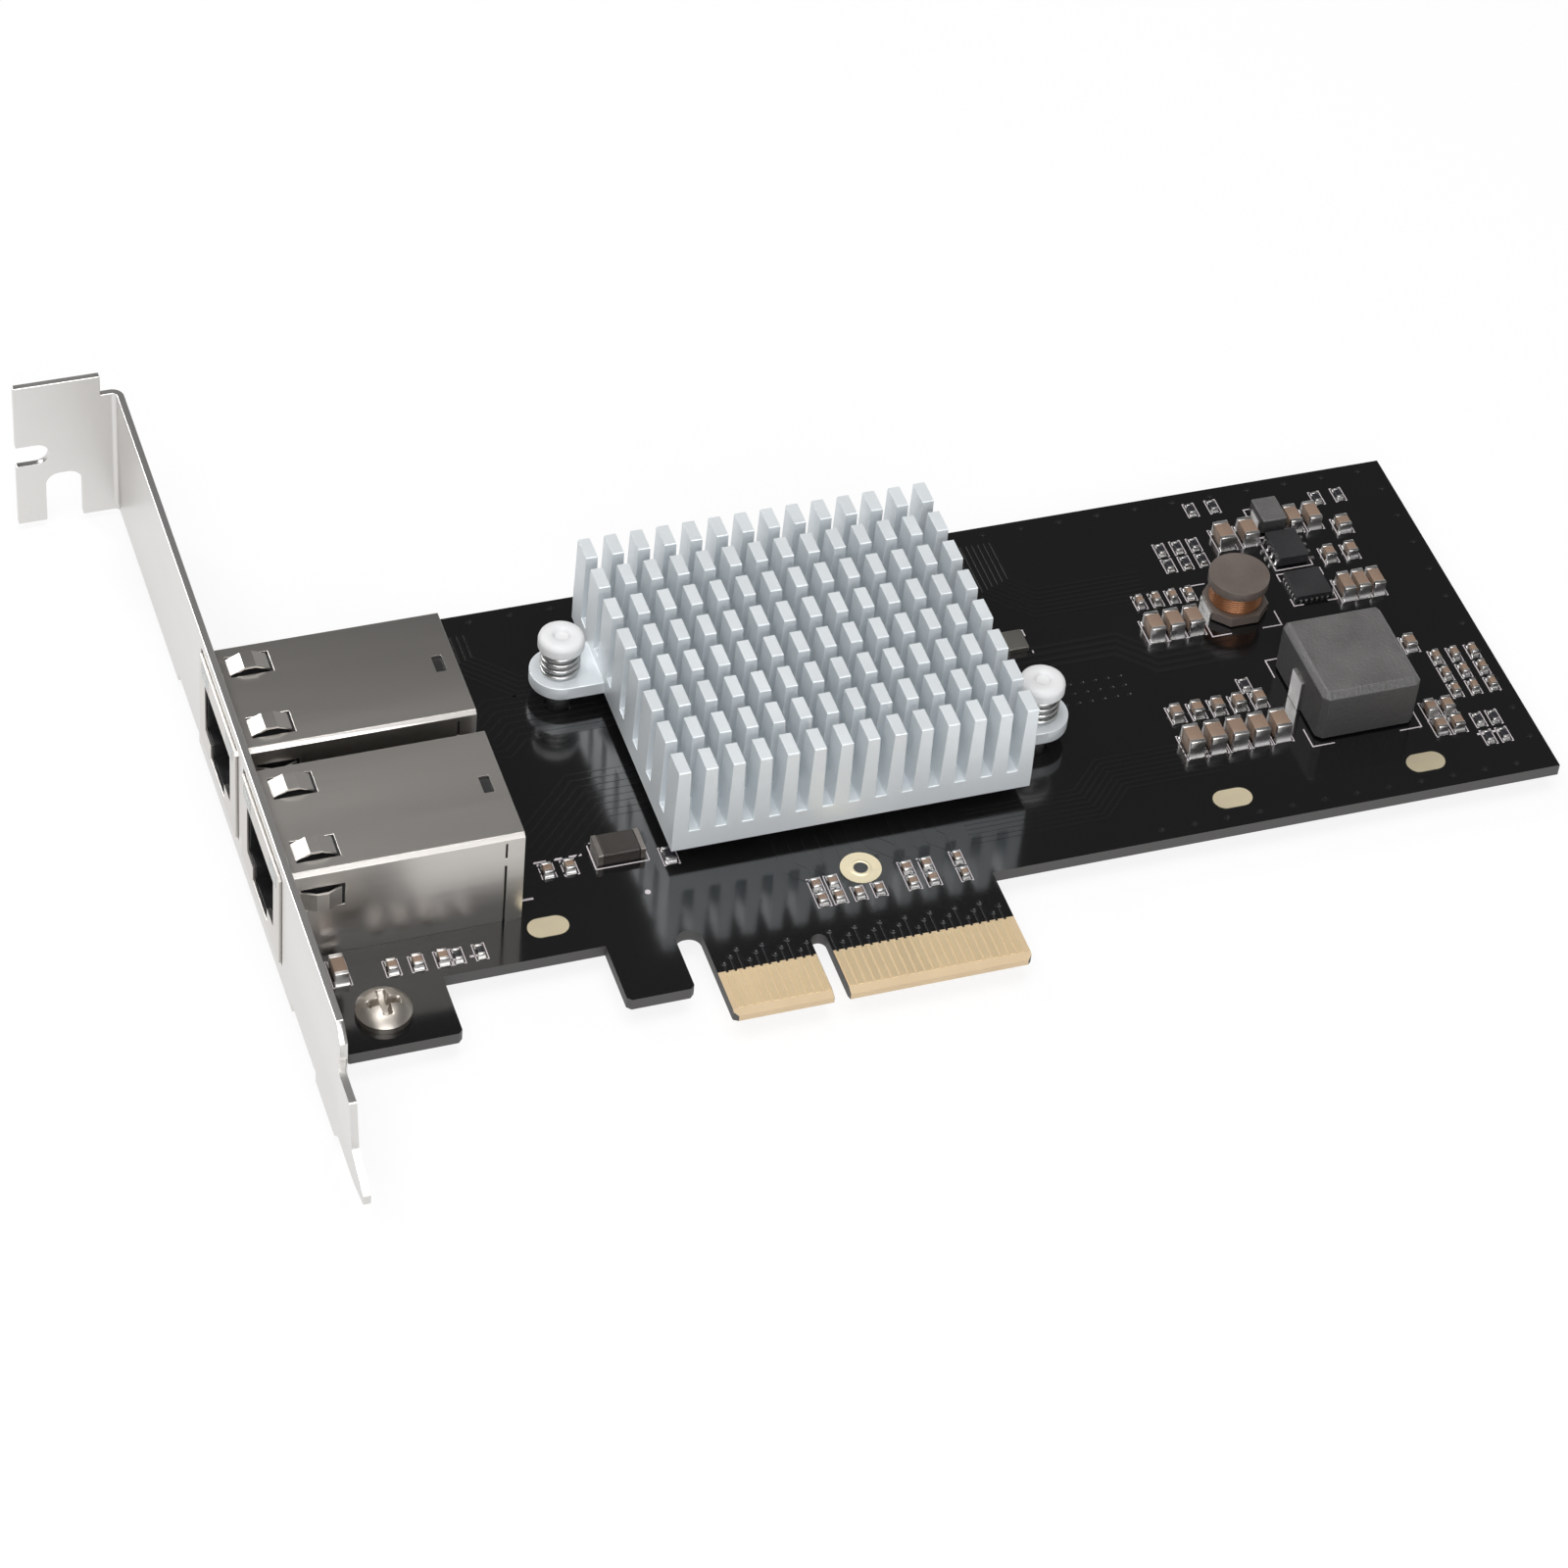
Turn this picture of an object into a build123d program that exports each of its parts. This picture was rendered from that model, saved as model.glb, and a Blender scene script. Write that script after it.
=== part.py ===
from build123d import *
import os
from math import atan2, cos, degrees, sin, tau

# A low-profile network card on a full-height bracket, lying component side up.
# The origin is the middle of the key notch at the tip of the edge contacts, on the component side.
# +X runs away from the bracket, +Y towards the board's top edge, +Z out of the component side.

# Board
board_length = 149.65
board_thickness = 1.57
key_to_left_edge = 55.6
contact_tab_height = 13.44
foot_drop = 8.54
screw_tab_width = 13.3
hook_width = 7.85
hook_gap = 3.05
throat_round = 1.4
tab_corner = 0.5
key_width = 1.9
key_depth = 9.3
bevel_length = 0.9
bevel_depth = 0.4

# Edge contacts and plated pads
contact_pitch = 1.0
contact_width = 0.7
contact_length = 5.3
contact_margin = 0.55
tab_side_margin = 0.65
short_side_contacts = 11
long_side_contacts = 21
plating = 0.06
pad_rise = 4.4
pad_length = 4.8
pad_width = 2.9
pad_from_key = -28.9
pads_from_far_edge = (40.05, 15.45)
disc_from_key = 8.15
disc_radius = 2.4

# Bracket
bracket_sheet = 0.86
bracket_width = 18.42
bracket_gap = 2.54
bracket_below_board = 2.98
bracket_above_board = 32.0
bracket_below_key = 17.6
flange_depth = 12.3
flange_extra = 2.9
flange_shoulder = 1.9
screw_notch_width = 4.42
screw_notch_depth = 7.2
screw_notch_round = 1.7
screw_notch_offset = 6.6
guide_notch_width = 3.0
guide_notch_depth = 4.0
guide_notch_rise = 10.6
shoulder_corner = 1.8
tongue_width = 10.19
tongue_length = 12.4
tongue_joggle = 0.6
joggle_length = 1.6
nose_length = 5.0
nose_slant = 1.2
nose_root_width = 4.3
nose_tip_width = 1.3
nose_lift = 0.9
nose_chamfer = 3.8
bend_inside = 0.6
ear_length = 13.4
ear_width = 8.6
ear_relief = 0.9
ear_corner = 1.6

# Bracket screws
screw_from_left = 5.6
screw_from_edge = 5.0
screw_radius = 1.45
screw_length = 2.85
screw_head_radius = 3.2
screw_head_height = 2.1
screw_play = 0.1

# Jacks
jack_width = 17.1
jack_height = 13.4
jack_depth = 27.9
jack_proud = 0.3
jack_to_lower_edge = 6.46
jack_to_top_edge = 11.99
jack_gap = 2.75
jack_play = 0.05
port_play = 0.3
shield_sheet = 0.3
shield_bend = 0.45
mouth_width = 11.9
mouth_height = 7.0
mouth_rise = 3.3
plug_depth = 12.6
latch_width = 6.4
latch_height = 2.1
housing_depth = 13.95
light_width = 3.0
light_height = 1.8
light_inset = 2.8
light_rise = 10.7
light_play = 0.1
wire_count = 8
wire_pitch = 1.02
wire_width = 0.45
wire_thickness = 0.25
wire_groove_width = 0.6
wire_groove_height = 0.8
wire_groove_setback = 2.3
wire_nose_setback = 3.2
wire_tip_setback = 10.8
wire_tip_drop = 2.9
finger_width = 2.6
finger_slit = 0.35
finger_root = 2.5
finger_length = 4.6
finger_rise = 0.8
finger_bends = (0.35, 0.65)
finger_tip_rise = 0.1
finger_offset = 5.0
side_finger_rise = 9.3
seam_width = 0.25
seam_setback = 2.1
seam_tab_rise = 9.5
seam_tab_width = 1.2
seam_top_margin = 1.0
catch_length = 1.2
catch_width = 2.6

# Solder joints under the jacks
joint_size = 1.5
joint_height = 0.75
joint_pitch_x = 3.2
joint_pitch_y = 8.4
joint_columns = 4
joint_rows = 2
joint_setback = 12.4
tab_joint_setbacks = (7.4, 24.4)

# Heatsink and its push pins
chip_from_key = 8.95
chip_from_bottom = 30.16
heatsink_lift = 2.0
heatsink_base = 2.9
fin_height = 9.5
fin_pitch = 3.2
fin_count = 14
fin_root = 1.85
fin_tip = 1.45
row_pitch = 5.2
row_count = 8
row_length = 3.4
ear_pin_x = 26.1
ear_pin_y = 10.2
heatsink_ear_radius = 3.6
heatsink_ear_thickness = 1.7
pin_hole = 1.6
pin_shaft = 1.35
pin_head = 2.75
pin_head_height = 1.8
pin_head_round = 0.8
pin_head_gap = 3.7
barb_reach = 1.95
barb_height = 2.5
barb_tip = 1.0
barb_thickness = 2.4
barb_slot = 0.7
spring_radius = 2.2
spring_wire = 0.26
spring_turns = 3
spring_corners = 6

# Controller chip
substrate_size = 25.0
substrate_thickness = 1.1
die_size = 12.5
die_thickness = 0.6

# Main inductor
inductor_from_far_edge = 20.55
inductor_from_bottom = 17.5
inductor_length = 12.6
inductor_width = 13.6
inductor_height = 7.0
inductor_chamfer = 0.7
inductor_terminal_width = 2.8
inductor_terminal_rise = 4.4
inductor_terminal_foot = 2.6
inductor_terminal_sheet = 0.3

# Drum choke
choke_from_far_edge = 27.7
choke_from_bottom = 34.9
choke_base_size = 7.2
choke_base_corner = 1.8
choke_base_height = 1.2
choke_post_radius = 1.6
choke_post_sides = 8
choke_window = 2.7
choke_winding_radius = 3.3
choke_top_radius = 3.7
choke_top_height = 1.2
choke_terminal_width = 3.2
choke_terminal_rise = 1.1
choke_terminal_foot = 1.4
choke_terminal_sheet = 0.2

# Small inductor
small_inductor_from_far_edge = 17.95
small_inductor_from_top = 7.3
small_inductor_length = 3.2
small_inductor_width = 4.2
small_inductor_height = 2.0
small_terminal_width = 2.4
small_terminal_rise = 1.3
small_terminal_foot = 0.8
small_terminal_sheet = 0.15

# Small chips
memory_from_far_edge = 17.8
memory_from_top = 13.0
memory_length = 3.9
memory_width = 4.9
memory_height = 1.4
memory_lift = 0.1
lead_pitch = 1.27
lead_count = 4
lead_width = 0.42
lead_sheet = 0.2
lead_foot = 1.05
lead_rise = 0.7
regulator_from_far_edge = 17.6
regulator_from_top = 19.5
regulator_size = 4.6
regulator_height = 0.9
crystal_from_key = 38.0
crystal_from_bottom = 34.9
crystal_length = 2.5
crystal_width = 3.2
crystal_height = 0.8

# Ferrite bead beside the near jack
bead_from_left = 37.6
bead_from_bottom = 13.6
bead_length = 4.4
bead_width = 3.4
bead_height = 1.6
bead_end = 0.6
bead_end_proud = 0.04


jack_spacing = jack_width + jack_gap
board_height = jack_to_lower_edge + jack_spacing + jack_width + jack_to_top_edge
board_left = -key_to_left_edge
board_right = board_left + board_length
board_bottom = contact_tab_height
board_top = board_bottom + board_height
board_underside = -board_thickness
foot_line = board_bottom - foot_drop
tab_left = -(key_width / 2 + short_side_contacts * contact_pitch + tab_side_margin)
tab_right = key_width / 2 + long_side_contacts * contact_pitch + tab_side_margin
hook_right = tab_left - hook_gap
hair = 0.01

bracket_inner = board_left - bracket_gap
bracket_outer = bracket_inner - bracket_sheet
bracket_bottom = -bracket_below_board
strip_end = board_top + bracket_above_board
flange_edge = bracket_outer - flange_depth
ear_underside = board_underside - bracket_sheet
tongue_tip = -bracket_below_key
tongue_root = tongue_tip + tongue_length
tongue_bottom = bracket_bottom + (bracket_width - tongue_width) / 2
tongue_top = tongue_bottom + tongue_width

screw_x = board_left + screw_from_left
screw_ys = (foot_line + screw_from_edge, board_top - screw_from_edge)
screw_spots = [(screw_x, screw_y) for screw_y in screw_ys]

jack_front = bracket_outer - jack_proud
jack_back = jack_front + jack_depth
near_jack_y = board_bottom + jack_to_lower_edge + jack_width / 2
jacks = (("near", near_jack_y), ("far", near_jack_y + jack_spacing))
shield_inside = jack_height - shield_sheet
housing_front = jack_front + shield_sheet + jack_play
housing_back = housing_front + housing_depth
insert_width = jack_width - 2 * (shield_sheet + jack_play)
insert_height = shield_inside - jack_play
mouth_top = mouth_rise + mouth_height
light_offset = jack_width / 2 - light_inset
groove_top = mouth_top + wire_groove_height
finger_slot_length = finger_length + finger_slit

chip_x = chip_from_key
chip_y = board_bottom + chip_from_bottom
fin_base = heatsink_lift + heatsink_base
fin_angle = degrees(atan2(fin_height, (fin_root - fin_tip) / 2))
heatsink_length = (fin_count - 1) * fin_pitch + fin_root
heatsink_depth = (row_count - 1) * row_pitch + row_length
pin_spots = [(chip_x - ear_pin_x, chip_y + ear_pin_y), (chip_x + ear_pin_x, chip_y - ear_pin_y)]
ear_top = heatsink_lift + heatsink_ear_thickness
pin_head_base = ear_top + pin_head_gap
barb_end = board_underside - barb_height

pad_y = board_bottom + pad_rise
pad_spots = [(pad_from_key, pad_y)] + [(board_right - inset, pad_y) for inset in pads_from_far_edge]
disc_spot = (disc_from_key, pad_y)

inductor_spot = (board_right - inductor_from_far_edge, board_bottom + inductor_from_bottom)
choke_spot = (board_right - choke_from_far_edge, board_bottom + choke_from_bottom)
choke_window_base = choke_terminal_sheet + choke_base_height
small_inductor_spot = (board_right - small_inductor_from_far_edge, board_top - small_inductor_from_top)
memory_spot = (board_right - memory_from_far_edge, board_top - memory_from_top)
regulator_spot = (board_right - regulator_from_far_edge, board_top - regulator_from_top)
crystal_spot = (crystal_from_key, board_bottom + crystal_from_bottom)
bead_spot = (board_left + bead_from_left, board_bottom + bead_from_bottom)

# Banks of chip parts: (x, y), (columns, rows), (pitch x, pitch y), (length along Y, width, height).
# A bank keeps its distance from the edges of the board that it lies near.
large_banks = (
    ((board_right - 36.1, board_bottom + 13.5), (5, 1), (2.75, 1), (3.2, 1.9, 2.3)),
    ((board_right - 36.4, board_bottom + 33.0), (3, 1), (2.5, 1), (3.2, 1.8, 1.9)),
    ((board_right - 23.0, board_top - 9.2), (2, 1), (3.2, 1), (3.2, 1.9, 1.8)),
    ((board_right - 13.8, board_top - 8.2), (2, 1), (2.6, 1), (3.2, 1.6, 1.7)),
    ((board_right - 11.4, board_top - 21.2), (3, 1), (1.95, 1), (3.2, 1.5, 1.8)),
    ((board_left + 2.3, board_bottom + 3.3), (1, 1), (1, 1), (3.2, 1.6, 1.6)),
)
small_banks = (
    ((board_right - 36.2, board_bottom + 18.9), (5, 1), (2.65, 1), (2.0, 1.25, 1.1)),
    ((board_right - 35.5, board_bottom + 38.1), (4, 1), (2.15, 1), (1.6, 0.8, 0.8)),
    ((board_right - 11.4, board_top - 14.9), (2, 1), (2.9, 1), (2.0, 1.25, 1.1)),
    ((board_right - 9.1, board_top - 10.3), (1, 1), (1, 1), (2.0, 1.6, 1.2)),
    ((board_right - 4.7, board_bottom + 17.6), (3, 3), (2.4, 2.9), (1.6, 0.8, 0.8)),
    ((board_right - 10.4, board_bottom + 10.8), (2, 2), (2.2, 3.0), (2.0, 1.25, 1.1)),
    ((board_right - 9.4, board_bottom + 23.4), (1, 1), (1, 1), (2.0, 1.25, 1.1)),
    ((board_left + 11.1, board_bottom + 2.6), (3, 1), (2.9, 1), (1.6, 1.1, 0.9)),
    ((board_left + 30.3, board_bottom + 12.6), (2, 1), (2.6, 1), (1.6, 1.1, 0.8)),
)
resistor_banks = (
    ((board_right - 30.6, board_top - 10.6), (3, 2), (2.2, 2.8), (1.6, 0.8, 0.45)),
    ((board_right - 25.0, board_top - 3.2), (2, 1), (2.9, 1), (1.6, 0.8, 0.45)),
    ((board_right - 8.8, board_top - 4.8), (2, 1), (2.9, 1), (1.6, 0.8, 0.45)),
    ((board_right - 31.6, board_bottom + 21.6), (1, 1), (1, 1), (1.6, 0.9, 0.5)),
    ((board_right - 5.4, board_bottom + 7.9), (2, 2), (2.0, 3.0), (1.6, 0.8, 0.45)),
    ((board_left + 17.0, board_bottom + 2.6), (2, 1), (2.6, 1), (1.6, 0.8, 0.5)),
    ((board_left + 43.1, board_bottom + 11.6), (1, 1), (1, 1), (2.0, 1.25, 0.6)),
)
coupling_banks = (
    ((3.3, board_bottom + 1.9), (2, 2), (2.0, 2.3), (1.4, 1.0, 0.6)),
    ((14.4, board_bottom + 1.9), (2, 2), (2.4, 2.3), (1.4, 1.0, 0.6)),
    ((19.4, board_bottom + 1.9), (1, 2), (1, 2.6), (1.4, 0.8, 0.6)),
    ((7.9, board_bottom + 0.7), (2, 1), (2.4, 1), (1.4, 0.9, 0.6)),
)
underside_banks = (((chip_x, chip_y), (3, 2), (5.4, 6.0), (1.6, 0.8, 0.6)),)


def save(piece, label):
    """Give a finished piece its name and write it to its file."""
    piece.part.label = label
    export_step(piece.part, f"parts/{label}.step")


def blocks(banks, face=0.0, direction=1):
    """The block of every part in the banks, standing on one face of the board."""
    for centre, (columns, rows), (pitch_x, pitch_y), (length, width, height) in banks:
        with BuildSketch(Plane.XY.offset(face)) as bank:
            with Locations(centre):
                with GridLocations(pitch_x, pitch_y, columns, rows):
                    Rectangle(width, length)
        extrude(bank.sketch, amount=direction * height)


def bent_terminals(spot, span, width, rise, foot, sheet):
    """Two bent strips that carry a wound part: each runs under it and up its side."""
    x, y = spot
    with BuildSketch(Plane.XZ.offset(-y)) as strips:
        for side, outward, inward in ((-1, Align.MAX, Align.MIN), (1, Align.MIN, Align.MAX)):
            with Locations((x + side * span / 2, 0)):
                Rectangle(sheet, rise, align=(outward, Align.MIN))
                Rectangle(foot, sheet, align=(inward, Align.MIN))
    extrude(strips.sketch, amount=width / 2, both=True)


def mouth(jack_y):
    """The outline that a plug enters, with the groove for its latch below."""
    with Locations((jack_y, mouth_rise)):
        Rectangle(mouth_width, mouth_height, align=(Align.CENTER, Align.MIN))
        Rectangle(latch_width, latch_height, align=(Align.CENTER, Align.MAX))


def light_channels(jack_y):
    """The two channels that hold the light pipes."""
    with Locations((jack_y, light_rise)):
        with GridLocations(2 * light_offset, 1, 2, 1):
            Rectangle(
                light_width + 2 * light_play,
                light_height + light_play,
                align=(Align.CENTER, Align.MIN),
            )


def finger_section(surface, side):
    """The section of a sprung finger that bows out of the sheet it is cut from."""
    root = jack_front + finger_root
    crest = [(share * finger_length, finger_rise) for share in finger_bends]
    outline = [(0, 0), *crest, (finger_length, finger_tip_rise)]
    outer = [(root + along, surface + side * rise) for along, rise in outline]
    inner = [(x, y - side * shield_sheet) for x, y in outer]
    with BuildLine() as section:
        Polyline(*outer, *reversed(inner), close=True)
    make_face(section.edges())


os.makedirs("parts", exist_ok=True)

# Circuit board: one panel with the contact tab, the hook and the screw tab along its lower edge
with BuildPart() as circuit_board:
    with BuildSketch(Plane.XY.offset(board_underside)) as outline:
        with Locations((board_left, board_bottom)):
            Rectangle(board_length, board_height, align=(Align.MIN, Align.MIN))
            Rectangle(screw_tab_width, foot_drop, align=(Align.MIN, Align.MAX))
        with Locations((hook_right, board_bottom)):
            Rectangle(hook_width, foot_drop, align=(Align.MAX, Align.MAX))
        with Locations((tab_left, 0)):
            Rectangle(tab_right - tab_left, board_bottom, align=(Align.MIN, Align.MIN))
        shoulder = outline.vertices().filter_by_position(Axis.Y, board_bottom - hair, board_bottom + hair)
        fillet(shoulder.filter_by_position(Axis.X, hook_right - hair, tab_left + hair), throat_round)
        chamfer(outline.vertices().filter_by_position(Axis.Y, -hair, foot_line + hair), tab_corner)
        SlotOverall(2 * key_depth, key_width, rotation=90, mode=Mode.SUBTRACT)
        with Locations(*screw_spots):
            Circle(screw_radius + screw_play, mode=Mode.SUBTRACT)
        with Locations(*pin_spots):
            Circle(pin_hole, mode=Mode.SUBTRACT)
    extrude(amount=board_thickness)
    # The tip of the contact tab is bevelled on both faces
    with BuildSketch(Plane.YZ.offset(tab_left)):
        for face, inward in ((0, -bevel_depth), (board_underside, bevel_depth)):
            with BuildLine():
                Polyline((0, face), (bevel_length, face), (0, face + inward), close=True)
            make_face()
    extrude(amount=tab_right - tab_left, mode=Mode.SUBTRACT)
save(circuit_board, "circuit_board")

# Edge contacts: a row of gold strips on each face of the tab, either side of the key
with BuildPart() as edge_contacts:
    for face in (0, board_underside - plating):
        with BuildSketch(Plane.XY.offset(face)):
            for side, count in ((-1, short_side_contacts), (1, long_side_contacts)):
                row_middle = key_width / 2 + contact_margin + (count - 1) * contact_pitch / 2
                with Locations((side * row_middle, bevel_length + contact_length / 2)):
                    with GridLocations(contact_pitch, 1, count, 1):
                        Rectangle(contact_width, contact_length)
        extrude(amount=plating)
save(edge_contacts, "edge_contacts")

# Plated pads: three bare ovals and a bare disc along the lower edge
with BuildPart() as plated_pads:
    with BuildSketch(Plane.XY):
        with Locations(*pad_spots):
            SlotOverall(pad_length, pad_width)
        with Locations(disc_spot):
            Circle(disc_radius)
    extrude(amount=plating)
save(plated_pads, "plated_pads")

# Bracket: one folded strip with its flange, tongue, port openings and two screw ears
with BuildPart() as bracket:
    with BuildSketch(Plane.YZ.offset(bracket_outer)) as strip:
        with Locations((tongue_root, bracket_bottom)):
            Rectangle(strip_end - tongue_root, bracket_width, align=(Align.MIN, Align.MIN))
        chamfer(strip.vertices().group_by(Axis.X)[0], shoulder_corner)
        with Locations(*[(jack_y, -port_play) for _, jack_y in jacks]):
            Rectangle(
                jack_width + 2 * port_play,
                jack_height + 2 * port_play,
                align=(Align.CENTER, Align.MIN),
                mode=Mode.SUBTRACT,
            )
        # The edge is relieved where each ear is folded in under the board
        with Locations(*[(screw_y, bracket_bottom) for screw_y in screw_ys]):
            Rectangle(
                ear_width + 2 * ear_relief,
                ear_underside - bracket_bottom,
                align=(Align.CENTER, Align.MIN),
                mode=Mode.SUBTRACT,
            )
            with GridLocations(ear_width + ear_relief, 1, 2, 1):
                Rectangle(
                    ear_relief,
                    board_underside - bracket_bottom,
                    align=(Align.CENTER, Align.MIN),
                    mode=Mode.SUBTRACT,
                )
    extrude(amount=bracket_sheet)
    # Tongue: pressed outward by a joggle, with a slanted nose
    with BuildSketch(Plane.XY.offset(tongue_bottom)):
        with BuildLine():
            Polyline(
                (bracket_outer, tongue_root),
                (bracket_outer - tongue_joggle, tongue_root - joggle_length),
                (bracket_outer - tongue_joggle, tongue_tip),
                (bracket_inner - tongue_joggle, tongue_tip),
                (bracket_inner - tongue_joggle, tongue_root - joggle_length),
                (bracket_inner, tongue_root),
                close=True,
            )
        make_face()
    extrude(amount=tongue_width)
    with BuildSketch(Plane.YZ.offset(bracket_outer - tongue_joggle)):
        with BuildLine():
            Polyline(
                (tongue_tip, tongue_top),
                (tongue_tip + nose_length + nose_slant, tongue_top),
                (tongue_tip + nose_length, tongue_bottom + nose_root_width),
                (tongue_tip, tongue_bottom + nose_lift + nose_tip_width),
                close=True,
            )
        make_face()
        with BuildLine():
            Polyline(
                (tongue_tip, tongue_bottom),
                (tongue_tip + nose_chamfer, tongue_bottom),
                (tongue_tip, tongue_bottom + nose_lift),
                close=True,
            )
        make_face()
    extrude(amount=bracket_sheet, mode=Mode.SUBTRACT)
    # Screw ears against the underside of the board
    with BuildSketch(Plane.XY.offset(board_underside)) as ears:
        with Locations(*[(bracket_outer, screw_y) for screw_y in screw_ys]):
            Rectangle(ear_length, ear_width, align=(Align.MIN, Align.CENTER))
        chamfer(ears.vertices().group_by(Axis.X)[-1], ear_corner)
        with Locations(*screw_spots):
            Circle(screw_radius + screw_play, mode=Mode.SUBTRACT)
    extrude(amount=-bracket_sheet)
    # Flange that seats on the chassis, with the screw notch and the guide notch
    with BuildSketch(Plane.XZ.offset(-strip_end)):
        with Locations((bracket_inner, bracket_bottom)):
            Rectangle(bracket_inner - flange_edge, bracket_width, align=(Align.MAX, Align.MIN))
        with Locations((flange_edge, bracket_bottom)):
            Rectangle(
                flange_depth - flange_shoulder,
                bracket_width + flange_extra,
                align=(Align.MIN, Align.MIN),
            )
        with Locations((bracket_outer - screw_notch_offset, bracket_bottom)):
            RectangleRounded(screw_notch_width, 2 * screw_notch_depth, screw_notch_round, mode=Mode.SUBTRACT)
        with Locations((flange_edge, bracket_bottom + guide_notch_rise)):
            SlotOverall(2 * guide_notch_depth, guide_notch_width, mode=Mode.SUBTRACT)
    extrude(amount=bracket_sheet)
    # Each fold is round outside and tighter inside
    folds = [
        (Axis.Z, (bracket_inner, strip_end, bracket_bottom), bend_inside + bracket_sheet),
        (Axis.Z, (bracket_outer, strip_end - bracket_sheet, bracket_bottom), bend_inside),
    ]
    for screw_y in screw_ys:
        folds.append((Axis.Y, (bracket_outer, screw_y, ear_underside), bracket_sheet))
    for along, corner, radius in folds:
        fillet(bracket.edges().filter_by(along).sort_by_distance(corner)[0], radius)
save(bracket, "bracket")

# Bracket screws: pan heads, through the board and the ears
with BuildPart() as bracket_screws:
    with BuildSketch(Plane.XY):
        with Locations(*screw_spots):
            Circle(screw_head_radius)
    extrude(amount=screw_head_height)
    with BuildSketch(Plane.XY):
        with Locations(*screw_spots):
            Circle(screw_radius)
    extrude(amount=-screw_length)
save(bracket_screws, "bracket_screws")

# The two jacks are alike: shield, housing, contacts, light pipes and transformer module
for name, jack_y in jacks:
    # Shield: a folded box, open below, with sprung fingers on its top and its sides
    with BuildPart() as shield:
        with BuildSketch(Plane.XY):
            with Locations((jack_front, jack_y)):
                Rectangle(jack_depth, jack_width, align=(Align.MIN, Align.CENTER))
        extrude(amount=jack_height)
        chamfer(shield.edges().filter_by(Axis.X).group_by(Axis.Z)[-1], shield_bend)
        with BuildSketch(Plane.XY):
            with Locations((jack_front + shield_sheet, jack_y)):
                Rectangle(
                    jack_depth - 2 * shield_sheet,
                    jack_width - 2 * shield_sheet,
                    align=(Align.MIN, Align.CENTER),
                )
        extrude(amount=shield_inside, mode=Mode.SUBTRACT)
        with BuildSketch(Plane.YZ.offset(jack_front)):
            mouth(jack_y)
            light_channels(jack_y)
        extrude(amount=shield_sheet, mode=Mode.SUBTRACT)
        # Slots that free the fingers, a catch window in the top and a seam near the back of each side
        with BuildSketch(Plane.XY.offset(shield_inside)):
            with Locations(*[(jack_front + finger_root, jack_y + side * finger_offset) for side in (-1, 1)]):
                Rectangle(
                    finger_slot_length,
                    finger_width + 2 * finger_slit,
                    align=(Align.MIN, Align.CENTER),
                )
            with Locations((jack_back - seam_setback, jack_y)):
                Rectangle(catch_length, catch_width)
        extrude(amount=shield_sheet, mode=Mode.SUBTRACT)
        with BuildSketch(Plane.XZ.offset(-jack_y)):
            with Locations((jack_front + finger_root, side_finger_rise)):
                Rectangle(
                    finger_slot_length,
                    finger_width + 2 * finger_slit,
                    align=(Align.MIN, Align.CENTER),
                )
            with Locations((jack_back - seam_setback, 0)):
                Rectangle(seam_width, jack_height - seam_top_margin, align=(Align.CENTER, Align.MIN))
            with Locations((jack_back - seam_setback, seam_tab_rise)):
                Rectangle(seam_width, seam_tab_width, mode=Mode.SUBTRACT)
        extrude(amount=jack_width, both=True, mode=Mode.SUBTRACT)
        for side in (-1, 1):
            with BuildSketch(Plane.XZ.offset(-(jack_y + side * finger_offset))):
                finger_section(jack_height, 1)
            extrude(amount=finger_width / 2, both=True)
            with BuildSketch(Plane.XY.offset(side_finger_rise)):
                finger_section(jack_y + side * jack_width / 2, side)
            extrude(amount=finger_width / 2, both=True)
    save(shield, f"{name}_jack_shield")

    # Housing: the insulator with the stepped mouth, the comb for the contacts and the light channels
    with BuildPart() as housing:
        with BuildSketch(Plane.XY):
            with Locations((housing_front, jack_y)):
                Rectangle(housing_depth, insert_width, align=(Align.MIN, Align.CENTER))
        extrude(amount=insert_height)
        with BuildSketch(Plane.YZ.offset(housing_front)):
            mouth(jack_y)
        extrude(amount=plug_depth, mode=Mode.SUBTRACT)
        with BuildSketch(Plane.YZ.offset(housing_front)):
            light_channels(jack_y)
        extrude(amount=housing_depth, mode=Mode.SUBTRACT)
        with BuildSketch(Plane.YZ.offset(housing_front + wire_groove_setback)):
            with Locations((jack_y, mouth_top)):
                with GridLocations(wire_pitch, 1, wire_count, 1):
                    Rectangle(wire_groove_width, wire_groove_height, align=(Align.CENTER, Align.MIN))
        extrude(amount=plug_depth - wire_groove_setback, mode=Mode.SUBTRACT)
    save(housing, f"{name}_jack_housing")

    # Contacts: eight wires that lie in the comb and turn back down into the mouth
    with BuildPart() as wires:
        wire_z = groove_top - wire_thickness / 2
        comb = [jack_y + (place - (wire_count - 1) / 2) * wire_pitch for place in range(wire_count)]
        with BuildSketch(*[Plane.XZ.offset(-y) for y in comb]):
            with BuildLine():
                Polyline(
                    (housing_front + plug_depth, wire_z),
                    (housing_front + wire_nose_setback, wire_z),
                    (housing_front + wire_tip_setback, mouth_top - wire_tip_drop),
                )
            trace(line_width=wire_thickness)
        extrude(amount=wire_width / 2, both=True)
    save(wires, f"{name}_jack_contacts")

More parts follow.
